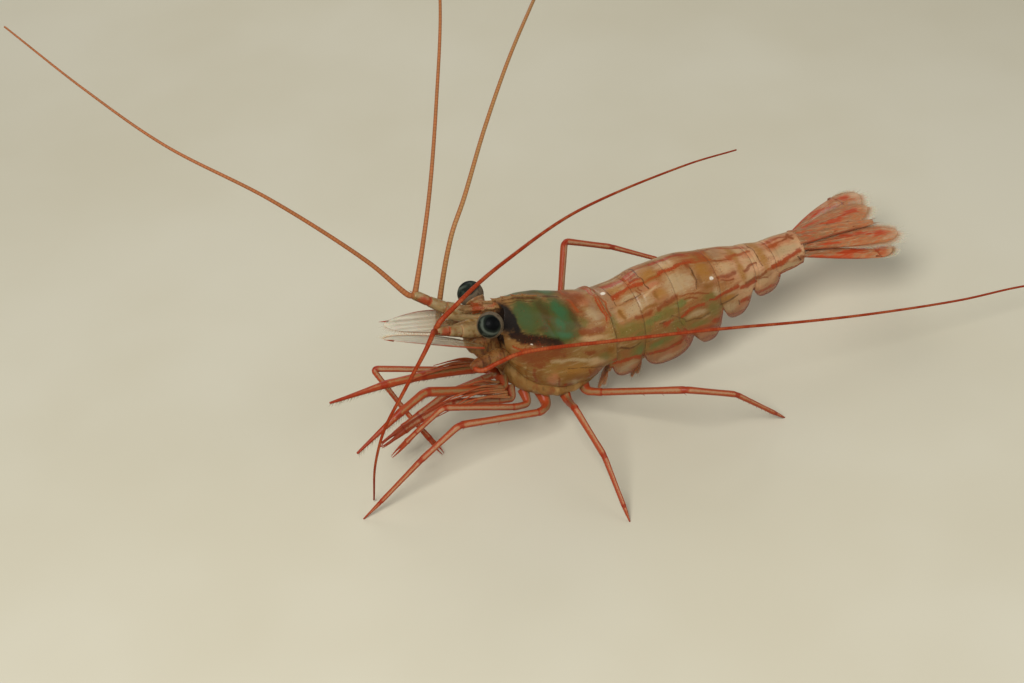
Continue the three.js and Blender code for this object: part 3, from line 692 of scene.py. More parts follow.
# %% Strokes, in mm along and mm down
# A stroke is its half width, then the points that it joins.
STROKES = {
    "cream": [(0.45, (5.1, 11.6), (6.1, 15.5)), (0.25, (2.6, 8.4), (5.5, 8.2), (8, 8.3))],
    # The first pale stroke, along the top of the second tail ring, is a painted highlight.
    "pale": [(0.14, (15.4, 2.75), (16.4, 2.5), (17.2, 2.35)), (0.1, (34.9, 1.0), (36.9, 0.65))],
    "umber": [(0.15, (0.8, 0.3), (2.9, 0.38)), (0.15, (3.8, 0), (6, 0.05)),
              (0.08, (-0.9, 0.35), (0.8, 0.25)), (0.08, (-1.2, 0.95), (0.6, 0.6), (2.6, 0.8)),
              (0.07, (12.05, 0), (12.1, 2.3)), (0.08, (11.3, 2.35), (13.2, 2.15), (15.2, 2.3)),
              (0.14, (11.3, 7.2), (12.3, 7.8), (13.9, 7.6)), (0.08, (16.1, 0), (16.2, 2.2)),
              (0.11, (16.2, 6.75), (17.2, 6.6)), (0.09, (18, 6.2), (19.9, 7.6)),
              (0.08, (21.9, 1.6), (22.1, 3.0), (21.8, 4.2)), (0.12, (19.9, 7.95), (22.2, 8.3), (23.1, 7.8)),
              (0.12, (24.5, 7.0), (25.6, 6.7), (27.3, 6.15)), (0.08, (33.6, 4.3), (36.3, 4.2)),
              (0.06, (31.1, 0), (31.3, 2.6)), (0.11, (14.6, 8.2), (16.4, 8.35)),
              (0.11, (27.45, 7), (27.6, 7.7)), (0.08, (4.2, 9.5), (6.5, 9.3), (8.8, 9.7), (9.6, 10.6)),
              (0.09, (36.4, 2.9), (36.9, 3.6))],
    "ochre": [(0.14, (-0.9, 9.0), (-0.5, 12.5)), (0.12, (-0.2, 9.2), (0.3, 13.0)),
              (0.18, (6.4, 12.0), (7.0, 15.0)), (0.15, (14.5, 3.9), (16.4, 4.2)),
              (0.2, (21.9, 2.4), (22.1, 3.9)), (0.2, (12.1, 3), (12.4, 3.9))],
    "rust": [(0.38, (6.7, 4.7), (8.2, 4.75), (9.3, 4.5)), (0.16, (28.6, 3), (29.4, 2.5), (30.6, 2.15)),
             (0.12, (3.2, 11), (4, 14)), (0.22, (28.6, 4.6), (30, 4), (31.6, 3.5)),
             (0.12, (0.5, 9.4), (0.9, 12)), (0.22, (25, 3.3), (26, 3.25), (27.3, 3.15)),
             (0.12, (25.2, 3.7), (26.8, 3.8)), (0.26, (13.8, 4.3), (14.8, 4.5), (15.6, 4.7)),
             (0.3, (16.6, 4.8), (17.6, 4.5), (19.1, 4.35)), (0.12, (19.5, 4.5), (21.3, 4.6), (23.2, 5)),
             (0.12, (20, 5), (21.6, 5.3)), (0.12, (30.2, 4), (31.9, 4.35)), (0.12, (7, 9.8), (7.7, 12.6)),
             (0.12, (7.9, 9.7), (8.5, 12.4)), (0.12, (8.7, 9.8), (9.2, 11.8)),
             (0.14, (33.3, 0.5), (36.8, 0.1)), (0.14, (25, 1.2), (27.3, 1.3)),
             (0.14, (15, 0.2), (15.9, 0.35)), (0.22, (14.8, 10.1), (16, 10.8), (17.2, 11), (18.4, 10.6)),
             (0.25, (18.9, 9.3), (19.3, 12)), (0.1, (15.3, 1.5), (15.6, 2)), (0.1, (14.9, 1.6), (15.2, 2.1)),
             (0.16, (36.2, 0), (36.6, 0.6))],
    "plum": [(0.68, (-0.9, 4.8), (0.8, 5.4), (2.2, 5.85), (3.5, 6.2))],
    "orange": [(0.22, (27.4, 1), (28.6, 0.75), (30.4, 0.4)), (0.18, (22, 1), (25.2, 0.9)),
               (0.12, (10.9, 0), (10.95, 3)), (0.14, (15.8, 1.3), (18.2, 1.15)),
               (0.2, (31.9, 3.3), (33.1, 3.3)), (0.2, (12, 1.3), (13.6, 1.15)),
               (0.2, (6.9, 0.5), (7.3, 2.2))],
    "red": [(0.24, (12.2, 1.05), (13.2, 0.85), (14.4, 0.7), (15.8, 1.25)), (0.09, (10.12, 0), (10.15, 3.9)),
            (0.22, (18.2, 1.05), (19.6, 0.95), (21, 0.9), (22.4, 0.85)), (0.07, (10.42, 0), (10.44, 3.9)),
            (0.24, (10.4, 9.25), (11.7, 9.2), (12.7, 9.4), (13.8, 9.9)), (0.12, (-1.4, 6.4), (0.6, 6.5)),
            (0.18, (15.2, 10.4), (16.4, 10.9), (17.4, 11.05), (18.4, 10.7)), (0.1, (14.7, 0.35), (16, 0.55)),
            (0.22, (19.5, 7), (20.4, 6.6), (21.4, 6.3), (22.3, 6.3)), (0.06, (18.4, 8.4), (18.45, 12)),
            (0.24, (24.2, 5.75), (25.2, 5.3), (26.4, 5.1), (27.3, 4.75)),
            (0.24, (27.8, 5.1), (29, 4.85), (30, 4.4)),
            (0.2, (25.3, 8.9), (26.7, 9.2), (28.3, 8.8), (29.3, 8)),
            (0.28, (27.9, 7.3), (28.6, 7), (29.5, 6.9)), (0.24, (30.5, 6.5), (31.4, 6.2), (32.3, 6)),
            (0.26, (32.7, 3.1), (33.8, 2.9), (35.2, 2.5), (36.8, 2.3)),
            (0.16, (20, 12.1), (21.2, 12.3), (22.8, 11.9)), (0.2, (19.2, 10), (21.6, 10.2), (24, 10.8)),
            (0.06, (18.6, 8.2), (18.7, 12)), (0.12, (4.2, 12.2), (5, 15.5)), (0.1, (23.2, 6), (24, 5.85))],
}
print("strokes", sum(len(strokes) for strokes in STROKES.values()))


# %% Masks on the flank
def faded(off):
    """1 at distance 0, a half at distance 1 and nearly 0 from 2: the exponential of a power."""
    return np.exp(-0.7 * off ** 2.6)


def stained(along, down):
    """One mask for each colour: 1 in the middle of a mark, a half at its edge and fading to 0 outside. A spot
    counts the distance in its own half sizes, and a stroke in half widths from its nearest length."""
    masks = {}
    for name, spots in SPOTS.items():
        for a, d, half_long, half_high in spots:
            off = np.hypot((along - a) / half_long, (down - d) / half_high)
            masks[name] = np.maximum(masks.get(name, 0), faded(off))
    for name, strokes in STROKES.items():
        for half, *points in strokes:
            for (a0, d0), (a1, d1) in zip(points, points[1:]):
                reach = (a1 - a0) ** 2 + (d1 - d0) ** 2
                t = np.clip(((along - a0) * (a1 - a0) + (down - d0) * (d1 - d0)) / reach, 0, 1)
                off = np.hypot(along - mixed(a0, a1, t), down - mixed(d0, d1, t)) / half
                masks[name] = np.maximum(masks.get(name, 0), faded(off))
    return masks


def walked_down(rings):
    """Distance in mm along each ring from its first point, the shorter way round."""
    gaps = np.linalg.norm(np.roll(rings, -1, axis=1) - rings, axis=-1)
    there = np.concatenate([np.zeros((len(rings), 1)), np.cumsum(gaps, axis=1)[:, :-1]], axis=1)
    back_again = gaps.sum(axis=1, keepdims=True) - there
    return np.minimum(there, back_again)


print("colours on the flank", len(set(SPOTS) | set(STROKES)))

# %% [markdown]
# ## Shell finish
# The shell is nearly clear, so what is seen is a warm body under a thin glossy skin. A truly clear shell
# over modelled organs would be slow to render and would show every gap inside, so the colours lie in one
# skin that lets light in a little way. The soft ones lie deep with wide edges, and the red of the stripes
# sits in fine grains on top.

# %% Colours of the markings, the deepest first
LAYERS = (
    # mark, colour, how cloudy and how grainy its edge is, where it starts, where it is full, how thick
    ("cream", "#ab9169", 0.7, 0.1, 0.0, 1.1, 0.85),
    # pale holds pale patches of the shell and also the painted highlight on the second ring.
    ("pale", "#ba976c", 0.7, 0.1, 0.0, 1.1, 0.8),
    ("grey", "#977656", 0.7, 0.1, 0.0, 1.1, 0.65),
    ("pink", "#b16c46", 0.8, 0.1, 0.0, 1.1, 0.7),
    ("amber", "#9a6826", 0.7, 0.1, 0.0, 1.1, 0.8),
    ("ochre", "#7e4e17", 0.8, 0.1, 0.0, 1.1, 0.8),
    ("olive", "#6e632a", 0.7, 0.1, 0.0, 1.1, 0.8),
    ("moss", "#5e6a33", 0.6, 0.2, 0.0, 1.1, 0.75),
    ("organ", "#454b20", 0.3, 0.1, 0.0, 0.85, 0.97),
    ("pine", "#40532f", 0.5, 0.2, 0.1, 1.1, 0.8),
    ("jade", "#386039", 0.4, 0.2, 0.1, 1.1, 0.92),
    ("veil", "#4c3a17", 0.5, 0.2, 0.1, 1.1, 0.8),
    ("plum", "#25100a", 0.5, 0.5, 0.05, 0.8, 0.95),
    ("dusk", "#16110f", 0.3, 0.2, 0.0, 0.7, 0.98),
    ("rust", "#803e18", 0.8, 0.8, 0.05, 1.0, 0.85),
    ("orange", "#9a481b", 0.6, 1.0, 0.1, 1.0, 0.85),
    ("umber", "#4a270d", 0.7, 0.9, 0.2, 1.1, 0.8),
    ("red", "#9a3b12", 0.7, 1.0, 0.1, 0.85, 0.92),
    # White dots of the shell, and one painted highlight on the first ring.
    ("white", "#e6dcc8", 0.2, 0.2, 0.4, 0.8, 0.85),
)
print("layers", len(LAYERS))


# %% Ground and markings of the shell
def shell_ground(shell, upper, lower, flap_colour, torn, soft, streak):
    """The body inside: one tone above and one below, paler to the rear, with clouds and long streaks."""
    shell.colour = upper
    shell.coat(lower, (shell.mark("down") + torn * 2.0).above(3.0, 9.0))
    shell.coat("#cb9d74", (shell.mark("aft") + torn * 0.5).above(0.1, 1.0) * 0.8)
    shell.coat("#7c5228", soft.above(0.45, 0.72) * 0.5)
    shell.coat("#8a4a26", streak.above(0.5, 0.68) * 0.4)
    shell.coat("#b59a70", streak.above(0.46, 0.32) * 0.35)
    shell.coat(flap_colour, shell.mark("flap").above(0.0, 0.7) * 0.7)


def shell_markings(shell, torn, fine):
    """Each layer where its mark and the noise together pass a step, and a dark brink round the red ones."""
    for mark, colour, cloudy, grainy, start, full, thick in LAYERS:
        there = shell.mark(mark)
        cover = (there + torn * cloudy + fine * grainy).above(start, full) * there.above(0.0, 0.3)
        shell.coat(colour, cover * thick)
    stripe = shell.mark("red") + torn * 0.5
    brink = stripe.above(0.1, 0.3) * stripe.above(0.9, 0.6)
    shell.coat("#4c210a", brink * shell.grains(0.13, seed=31).above(0.42, 0.2) * 0.6)


print("ready to mark a shell")


# %% Freckles, and the whole shell
def shell_freckles(shell, soft):
    """Red dots that crowd at the rims and stripes, brown specks, and pale grains away from the organ."""
    crowd = shell.cloud(1.3, seed=9) + shell.mark("rim") * 0.6 + shell.mark("red") * 0.4
    dots = shell.grains(0.26, seed=2).above(0.42, 0.12) * crowd.above(0.5, 0.68)
    shell.coat("#7f2c12", dots * shell.mark("dusk").above(0.3, 0.0) * 0.5)
    specks = shell.grains(0.2, seed=12).above(0.3, 0.14) * shell.cloud(1.0, seed=14).above(0.5, 0.66)
    shell.coat("#3a2410", specks * 0.55)
    pale = shell.grains(0.4, seed=7).above(0.22, 0.08) * soft.above(0.5, 0.36)
    shell.coat("#cdb48a", pale * shell.mark("organ").above(0.3, 0.0) * 0.3)


def shell_finish(name, upper, lower, flap_colour):
    """A thin glossy skin with the ground, the markings and the freckles in it. The flaps are see-through."""
    shell = Finish(name, Roughness=0.38, Specular_IOR_Level=0.15, Coat_Weight=0.07, Coat_Roughness=0.12,
                   Subsurface_Weight=0.2, Subsurface_Radius=(1.0, 0.5, 0.3), Subsurface_Scale=0.25 * MM)
    torn = (shell.cloud(0.5, detail=4.0) - 0.5) + (shell.cloud(0.2, (4, 1, 1), seed=5, detail=3.0) - 0.5)
    soft = shell.cloud(2.0, (1.5, 1, 1), detail=3.0, seed=4)
    streak = shell.cloud(0.5, (5.0, 1, 1), detail=3.0, seed=8)
    fine = shell.cloud(0.12, (2.2, 1, 1), seed=21, detail=3.0) - 0.5
    shell_ground(shell, upper, lower, flap_colour, torn, soft, streak)
    shell_markings(shell, torn, fine)
    shell_freckles(shell, soft)
    shell.coat("#8a3512", (shell.mark("rim") + torn * 0.35 + fine * 0.9).above(0.25, 0.75) * 0.9)
    shell.relief(torn + streak * 0.5, 0.018)
    shell.paint(Alpha=shell.mark("flap").above(1.2, 0.2) * 0.5 + 0.5)
    return shell.material


carapace_shell = shell_finish("carapace_shell", "#94693c", "#8a6632", "#8f6a3c")
tail_shell = shell_finish("tail_shell", "#9c6a3e", "#835f2d", "#a0663a")
print("finishes", carapace_shell.name, tail_shell.name)

# %% [markdown]
# ## Carapace
# One plate covers the head and chest like a saddle. Its edge is cut back round the eye, with a small spine
# below it, and its rear edge stands a little proud of the first tail ring. It could be cut out of a tube,
# but a stack of rings needs no cutting: the spine and the notch only slide the first rings along.

# %% How a plate ends
FRONT_FILL = ((0.015, 0.06), (0.05, 0.2), (0.09, 0.22), (0.2, -0.05), (0.35, -0.4), (0.55, -0.7), (0.8, -0.9))
REAR_RIM = ((0.02, -0.02), (0.14, -0.6))


def rimmed(rings, front, rear):
    """Adds rings at the ends, each a share of the way to the middle and a step along x, so that an edge turns
    inwards like a thin plate's, or a dome of flesh fills the opening."""
    def inset(ring, share, step):
        """A ring drawn in by a share of the way to its middle, and moved a step along x."""
        inner = mixed(ring, ring.mean(axis=0), share)
        inner[:, 0] = mixed(ring[:, 0], ring[:, 0].mean(), share) + step
        return inner[None]

    return np.concatenate([inset(rings[0], *move) for move in front[::-1]] + [rings]
                          + [inset(rings[-1], *move) for move in rear])


print("rings in front", len(FRONT_FILL), "behind", len(REAR_RIM))

# %% The plate
CARAPACE_REAR = 10.62
WIDEST = 0.46


def edge_slide(share):
    """How far the front edge slides back, by the share of the way from the back to the belly: a hollow
    behind the eye, and spines at 0.36 and 0.6."""
    return (0.5 * bell(share, 0.2, 0.08) - 0.7 * bell(share, 0.36, 0.016) - 0.35 * bell(share, 0.60, 0.014)
            + 0.8 * rise(0.7, 1.0, share) - 0.5 * bell(share, 0.45, 0.16))


def carapace_rings(stops=132, sides=240):
    """Rings across the body: an arch above the widest place and a flatter bowl below it, each a power of a
    sine and a cosine. A groove, a ridge above the lower edge and the keel are bells added to them."""
    x = mixed(FRONT, CARAPACE_REAR, np.linspace(0, 1, stops) ** 1.1)[:, None]
    turn = circle(sides)
    s, c, share = np.sin(turn), np.cos(turn), np.minimum(turn, 2 * np.pi - turn) / np.pi
    station = np.minimum(x, CARAPACE_END)
    low, top, half = carapace_low(station), back_top(station), carapace_half(station)
    middle = mixed(low, top, WIDEST)
    y = half * np.sign(s) * np.abs(s) ** np.where(c < 0, 0.6, mixed(1.6, 0.95, rise(FRONT, 4.0, x)))
    z = np.where(c < 0, middle - (middle - low) * np.abs(c) ** 0.75, middle + (top - middle) * c)
    swell = 0.16 * rise(9.3, 10.3, x) + 0.07 * bell(share, 0.8, 0.018)
    groove = bell(x, 1.8 + 5 * share, 0.3) * rise(0.16, 0.26, share) * rise(0.6, 0.46, share)
    swell = swell - 0.07 * groove + 0.05 * ripple(points_of(x, y, z), 3.0, 5)
    reach = np.hypot(y, z - middle)
    y, z = y + swell * y / reach, z + swell * (z - middle) / reach
    keel = 0.22 * bell(s, 0, 0.09) * (c > 0) * (1 - rise(0.5, 5.0, x))
    return points_of(x + edge_slide(share) * (1 - rise(FRONT, 1.2, x)), y, z + keel)


def marked(clay, rings, along, down, **marks):
    """A skin with every colour mask at its place on the unrolled flank, a little wavy."""
    waved = along + 0.12 * ripple(rings, 1.5, 7), down + 0.1 * ripple(rings, 1.6, 8)
    clay.skin(rings, down=down, aft=rise(23, 31, along), **stained(*waved), **marks)


carapace = Clay()
rings = rimmed(carapace_rings(), FRONT_FILL, REAR_RIM)
along = np.minimum(rings[..., 0], CARAPACE_REAR)
lower_rim = 0.25 * bell(rings[..., 2], carapace_low(along) + 0.12, 0.12)
front_rim = np.zeros(rings.shape[:2])
front_rim[5:9] = 0.15
inside = (np.arange(len(rings)) < 5)[:, None]
marked(carapace, rings, np.where(inside, -1.3, along), walked_down(rings),
       rim=np.maximum(lower_rim * ~inside, front_rim))
print("plate", rings.shape)

# %% [markdown]
# ## Beak
# A low keel on the carapace runs out between the eyes into a thin saw-edged beak, by which such animals are
# told apart. Its outline could be drawn and thickened, but a saw is a sum: the part of a number behind the
# point rises along each tooth and drops at its end. The teeth also lean forwards, which slides them along x.

# %% The beak
BEAK_ROOT, BEAK_TIP = 3.4, -6.15
beak_under = through((-6.15, 19.75), (-5.2, 19.0), (-3.6, 18.2), (-1.2, 17.4), (3.4, 16.6))


def saw(count, drop):
    """Teeth along a count that grows by one for each: a slow rise, then a fall from `drop` to the end."""
    part = count % 1
    return part ** 1.8 * rise(1.0, drop, part)


def beak_rings(stops=240, sides=36):
    """A thin blade with six saw teeth along its top that lean forwards, two below and a rib on each side.
    Also how much of each point is an upper tooth, and the cosine of its turn, 1 at the top."""
    t = np.linspace(0, 1, stops)[:, None]
    x = mixed(BEAK_ROOT, BEAK_TIP, t)
    share = (1.2 - x) / 6.6
    ridge = 18.5 + 1.25 * np.clip(share, 0, 1) ** 0.8
    ridge = np.where(share > 0, ridge, back_top(x) + 0.2 + 0.12 * (share + 0.33))
    tooth = np.clip((2.9 - x) / 8.4 * 7, 0, 6.999)
    teeth = saw(tooth, 0.96) * rise(0, 1.5, tooth)
    lower_teeth = saw(np.clip((-2.4 - x) / 2.9 * 3, 0, 2.999), 0.95)
    up, side = np.cos(circle(sides)), np.sin(circle(sides))
    z = mixed(beak_under(x) - 0.24 * lower_teeth, ridge + 0.42 * teeth, 0.5 + 0.5 * up)
    rib = bell(up, -0.15, 0.35) * (0.3 + 0.4 * rise(-3.0, 1.5, x)) * rise(1.02, 0.7, t)
    y = (0.09 + rib) * np.sign(side) * np.abs(side) ** 0.6
    x = x - 0.36 * teeth * np.clip(up, 0, 1) ** 3 - 0.15 * lower_teeth * np.clip(-up, 0, 1) ** 3
    return points_of(x, y, z), teeth * np.clip(up, 0, 1) ** 3, up


beak, teeth, up = beak_rings()
beak_x = beak[..., 0]
beak_red = bell(beak_x, -3.9, 0.75) + 0.5 * bell(beak_x, -2.0, 1.0) * bell(up, 0.2, 0.3)
beak_line = bell(up, 0.55, 0.16) + bell(up, -0.3 - 0.1 * np.sin(beak_x * 2), 0.13)
carapace.skin(beak, down=0.0, red=0.8 * beak_red, rim=0.7 * teeth, cream=0.5 * rise(0.0, -3.0, beak_x),
              umber=0.9 * beak_line * rise(-5.2, -3.0, beak_x))
carapace.piece("shell_carapace", carapace_shell, "carapace_shell", ["carapace"])

# %% [markdown]
# ## Tail rings
# Six hoops of shell cover the tail like tiles, each one's rear edge lying over the next one's front. Their
# sides hang down as thin rounded flaps, and the second flap covers both of its neighbours. Hoops and flaps
# could be separate sheets, but one closed section leaves no seam between them: an arch, a straight side, a
# thin flap edge and the belly, swept back towards the flap's edge.


# %% The shape of a ring
RING_PIECES = {"arch": 44, "side": 30, "inner": 14, "under": 8}
WAIST_SHARE = 0.42


def mirrored(field):
    """The right half's numbers, then the same again backwards for the left half."""
    return np.concatenate([field, field[:, -2:0:-1]], axis=1)


def ring_lengths(index, stops=64):
    """Where the rings across one hoop lie: a little under its neighbour, along it, and a thin lip behind."""
    start, end = SEGMENT_ENDS[index] + HINGE_GAP / 2, SEGMENT_ENDS[index + 1] - HINGE_GAP / 2
    span = end - start
    u = np.concatenate([np.linspace(-0.38, 0, 5)[:-1] / span, np.linspace(0, 1, stops),
                        1 + np.array([0.12, 0.26]) / span])[:, None]
    return start + span * u, u


print("points round half a hoop", sum(RING_PIECES.values()))


# %% The rings of a hoop
def tail_rings(index):
    """Rings of one hoop, and for each point the place along the body, how far it is down the flap, how near
    to the flap's edge, and the place along the hoop."""
    arch, side, inner, under_steps = RING_PIECES.values()
    x, u = ring_lengths(index)
    inside_u = np.clip(u, 0, 1)
    fullness = (1 - np.abs(2 * inside_u - 1) ** 3) ** 0.6
    swell = 0.16 * np.sin(np.pi * (0.12 + 0.8 * inside_u)) + 0.03 * rise(0.86, 1.0, u)
    swell = swell - 0.10 * (1 - rise(-0.05, 0.06, u)) - 0.04 * bell(u, 0.18, 0.04)
    top, half, under = tail_top(x) + swell, tail_half(x) + swell, belly(x)
    flap_low = np.minimum(mixed(under - 0.12, FLAP_LOW[index], fullness), under - 0.12)
    spring = mixed(under, top, WAIST_SHARE)

    theta = np.linspace(0, np.pi / 2, arch)[None]
    q = np.linspace(0, 1, side + 1)[None, 1:]
    w = np.linspace(0, 1, inner)[None]
    v = np.linspace(0, 1, under_steps)[None, 1:]
    y_side = half * (1 - 0.1 * q * q)
    z_inner = mixed(flap_low + 0.02, under, w)
    q_inner = (spring - z_inner) / (spring - flap_low)
    y_inner = half * (1 - 0.1 * q_inner ** 2) - mixed(0.13, 0.7, w)
    y = np.concatenate([half * np.sin(theta) ** 0.95, y_side, y_inner, y_inner[:, -1:] * (1 - v)], axis=1)
    z = np.concatenate([spring + (top - spring) * np.cos(theta), mixed(spring, flap_low, q), z_inner,
                        under + 0.25 * v * v], axis=1)
    reach = np.concatenate([0 * theta, q, 0 * w, 0 * v], axis=1) + 0 * x
    reach[:, arch + side:arch + side + inner] = q_inner
    reach[:, arch + side + inner:] = q_inner[:, -1:] * (1 - v)
    sweep = reach ** 2 * mixed(FLAP_SWEEP[index], FLAP_SWEEP[index + 1], inside_u)
    flap = rise(0.25, 1.0, reach) * (under - 0.3 > flap_low)
    right = points_of(x + sweep, y, z)
    both = np.concatenate([right, right[:, -2:0:-1] * [1, -1, 1]], axis=1)
    edge = bell((1 - reach) * (spring - flap_low), 0, 0.4) * (reach > 0)
    return both, x + 0 * mirrored(reach), mirrored(flap), mirrored(edge), u


print("rings along the first hoop", len(ring_lengths(0)[0]))


# %% Six rings
def carried_back(field):
    """The last row again for each ring of the rear rim."""
    return np.concatenate([field] + [field[-1:]] * len(REAR_RIM))


for index in range(len(FLAP_LOW)):
    clay = Clay()
    rings, along, flap, edge, u = tail_rings(index)
    rings[..., 1:] += 0.02 * ripple(rings, 2.4, 20 + index)[..., None] * [0.5, 1]
    rim = np.maximum(0.85 * edge, 0.28 * rise(0.965, 1.0, u))
    marked(clay, rimmed(rings, (), REAR_RIM), carried_back(along), carried_back(walked_down(rings)),
           flap=carried_back(flap), rim=carried_back(rim))
    clay.piece(f"shell_ring_{index + 1}", tail_shell, "tail_shell", [f"tail_ring_{index + 1}"])

# %% [markdown]
# ## Flesh below the shell
# Between the eyes and the mouth a soft block carries the feelers, and under the chest lies the floor of the
# breast with the roots of the legs. Real tissue here is a bundle of small parts that can't be told apart, so
# both are rounded barrels made uneven by soft waves, and the finish adds the muddle.

# %% Flesh finish
# Colour, where its noise starts, where it steps up, where it is full, and how thick, for the breast.
BREAST_TONES = (("#67471f", 15.0, 0.5, 0.66, 0.7), ("#b38d56", 17.0, 0.52, 0.68, 0.6),
                ("#8a4420", 19.0, 0.55, 0.7, 0.6))
flesh = Finish("flesh", Roughness=0.45, Specular_IOR_Level=0.18, Subsurface_Weight=0.3,
               Subsurface_Radius=(1.0, 0.5, 0.3), Subsurface_Scale=0.35 * MM, Coat_Weight=0.08,
               Coat_Roughness=0.15)
lumps = flesh.cloud(0.7, detail=4.0)
knob, breast = flesh.mark("knob"), flesh.mark("breast")
flesh.colour = "#8f6b38"
flesh.coat("#7a4a20", lumps.above(0.45, 0.7))
flesh.coat("#a98a58", flesh.cloud(0.6, (1, 1, 3), seed=3).above(0.48, 0.7) * 0.45)
flesh.coat("#8a3d1a", flesh.cloud(0.8, (1, 1, 3), seed=6).above(0.52, 0.72) * 0.6)
flesh.coat("#6d3316", knob * 0.85)
flesh.coat("#933a1c", flesh.grains(0.3, seed=5).above(0.24, 0.12) * 0.6)
wrinkles = flesh.cloud(0.22, (1, 1, 5), seed=11, detail=3.0).above(0.52, 0.62)
flesh.coat("#4f2a12", wrinkles * knob.above(0.1, 0.5) * 0.6)
flesh.coat("#4a1f0d", flesh.mark("seam") * 0.8)
flesh.coat("#936b37", breast * 0.75)
for tone, seed, low, high, thick in BREAST_TONES:
    lobe = flesh.cloud(0.9, (1, 1, 2.5), seed=seed, detail=3.0).above(low, high)
    flesh.coat(tone, lobe * breast * thick)
flesh.relief(lumps, 0.04)
flesh.paint()
print("finish", flesh.material.name)


# %% Barrels and domes
def barrel(x, half, low, top, sides=40):
    """Rounded box sections between two heights: the sine and cosine of the turn to the power 0.7."""
    x = x[:, None]
    s, c = np.sin(circle(sides)), np.cos(circle(sides))
    y = half(x) * np.sign(s) * np.abs(s) ** 0.7
    z = (low(x) + top(x)) / 2 + (top(x) - low(x)) / 2 * np.sign(c) * np.abs(c) ** 0.7
    return points_of(x, y, z)


def rounded_ends(rings, steps=6):
    """Adds rings at both ends that shrink with the cosine of an angle and move out with half its sine, so
    that a barrel ends in a flat dome."""
    def dome(ring, towards):
        """The rings from this one to its pole."""
        centre = ring.mean(axis=0)
        reach = np.linalg.norm(ring - centre, axis=1).mean() * 0.5
        turn = np.linspace(0, np.pi / 2, steps + 1)[1:, None, None] * 0.97
        return centre + (ring - centre) * np.cos(turn) + towards * reach * np.sin(turn)

    ahead = unit(rings[0].mean(axis=0) - rings[1].mean(axis=0))
    behind = unit(rings[-1].mean(axis=0) - rings[-2].mean(axis=0))
    return np.concatenate([dome(rings[0], ahead)[::-1], rings, dome(rings[-1], behind)])


def uneven(rings, depth, size, seed):
    """The rings with their y and z moved by a ripple `depth` mm high."""
    rings[..., 1:] += depth * ripple(rings, size, seed)[..., None]
    return rings


print("ready to round off")

# %% Head block and breast
head_half = through((-5.2, 1.15), (-4, 1.6), (-1.9, 1.75))
head_low = through((-5.2, 13.6), (-4, 11.9), (-1.9, 9.6))
head_top = through((-5.2, 15.6), (-4, 16.1), (-1.9, 16.2))
rings = barrel(np.linspace(-5.0, -0.9, 34), head_half, head_low, head_top)
head = Clay()
head.skin(uneven(rounded_ends(rings), 0.12, 1.8, 41), knob=0.5)
head.piece("head_block", flesh.material, "flesh", ["head_base"])

BREAST_ABOVE = 1.6
breast_half = through((-1.5, 1.9), (0, 2.7), (2.5, 3.45), (6, 3.5), (9.1, 2.9))
rings = barrel(np.linspace(-1.3, 9.0, 70), breast_half, breast_low, lambda x: carapace_low(x) + BREAST_ABOVE)
chest = Clay()
chest.skin(uneven(rounded_ends(rings), 0.06, 1.6, 42), breast=1)
chest.piece("breast_floor", flesh.material, "flesh", ["breast"])

# %% Bases of the large feelers
# Each stop is x, y outwards, z and the radius there. Seams lie at these shares of the way.
BASE_STOPS = ((-2.1, 2.9, 13.5, 0.55), (-3.2, 3.1, 13.95, 0.9), (-4.2, 3.3, 14.3, 0.92),
              (-4.9, 3.45, 14.5, 0.7), (-5.3, 3.6, 14.55, 0.62), (-5.9, 3.8, 14.65, 0.68),
              (-6.6, 4.02, 14.78, 0.42))
BASE_SEAMS = (0.2, 0.58, 0.8)
DOME = 5
for side, hand in SIDES.items():
    line = feeler_line([(x, hand * y, z) for x, y, z, r in BASE_STOPS], 60)
    place = np.linspace(0, 1, len(line))
    radius = np.interp(place, np.linspace(0, 1, len(BASE_STOPS)), [r for *_, r in BASE_STOPS])
    rings = tube(line, radius, 28)
    rings += 0.05 * ripple(rings, 0.9, 43)[..., None]
    knobs = np.pad(0.45 + 0.4 * rise(0.5, 0.75, place), DOME, mode="edge")
    seams = np.pad(sum(bell(place, at, 0.018) for at in BASE_SEAMS), DOME)
    base = Clay()
    base.skin(rounded_ends(rings, DOME), knob=knobs[:, None], seam=seams[:, None])
    base.piece(f"feeler_base_{side}", flesh.material, "flesh", [f"antenna_base_{side}"])

# %% [markdown]
# ## Eyes
# Each eye is a ball of fine facets on a short stalk. Its middle looks black, with a soft grey arc in front
# of it and a brownish skin where the facets end. A pupil could be a mesh of its own, but on the animal it is
# only the way that facets take in light, so it is painted by the angle from an outward direction.

# %% Eye finish
eye = Finish("eye", Roughness=0.5, Specular_IOR_Level=0.05, Coat_Weight=0.02, Coat_Roughness=0.12)
haze = eye.cloud(0.8, seed=3, detail=3.0) - 0.5
gaze = eye.mark("gaze") + haze * 0.1
eye.colour = "#060707"
eye.coat("#191e18", gaze.above(0.27, 0.38))
eye.coat("#3a4036", eye.cloud(0.6, seed=2).above(0.45, 0.68) * gaze.above(0.34, 0.5) * 0.8)
arc = (gaze.above(0.38, 0.46) - gaze.above(0.48, 0.6)) * eye.mark("ahead")
eye.coat("#666c60", arc * 0.5)
skin = (eye.mark("skin") + haze * 0.12).above(0.55, 0.64)
eye.coat("#6a5b48", skin * 0.92)
eye.coat("#3d2c20", skin * eye.cloud(0.35, (1, 1, 2), seed=8).above(0.5, 0.66) * 0.6)
eye.relief(eye.grains(0.075), 0.004)
eye.paint()
print("finish", eye.material.name)

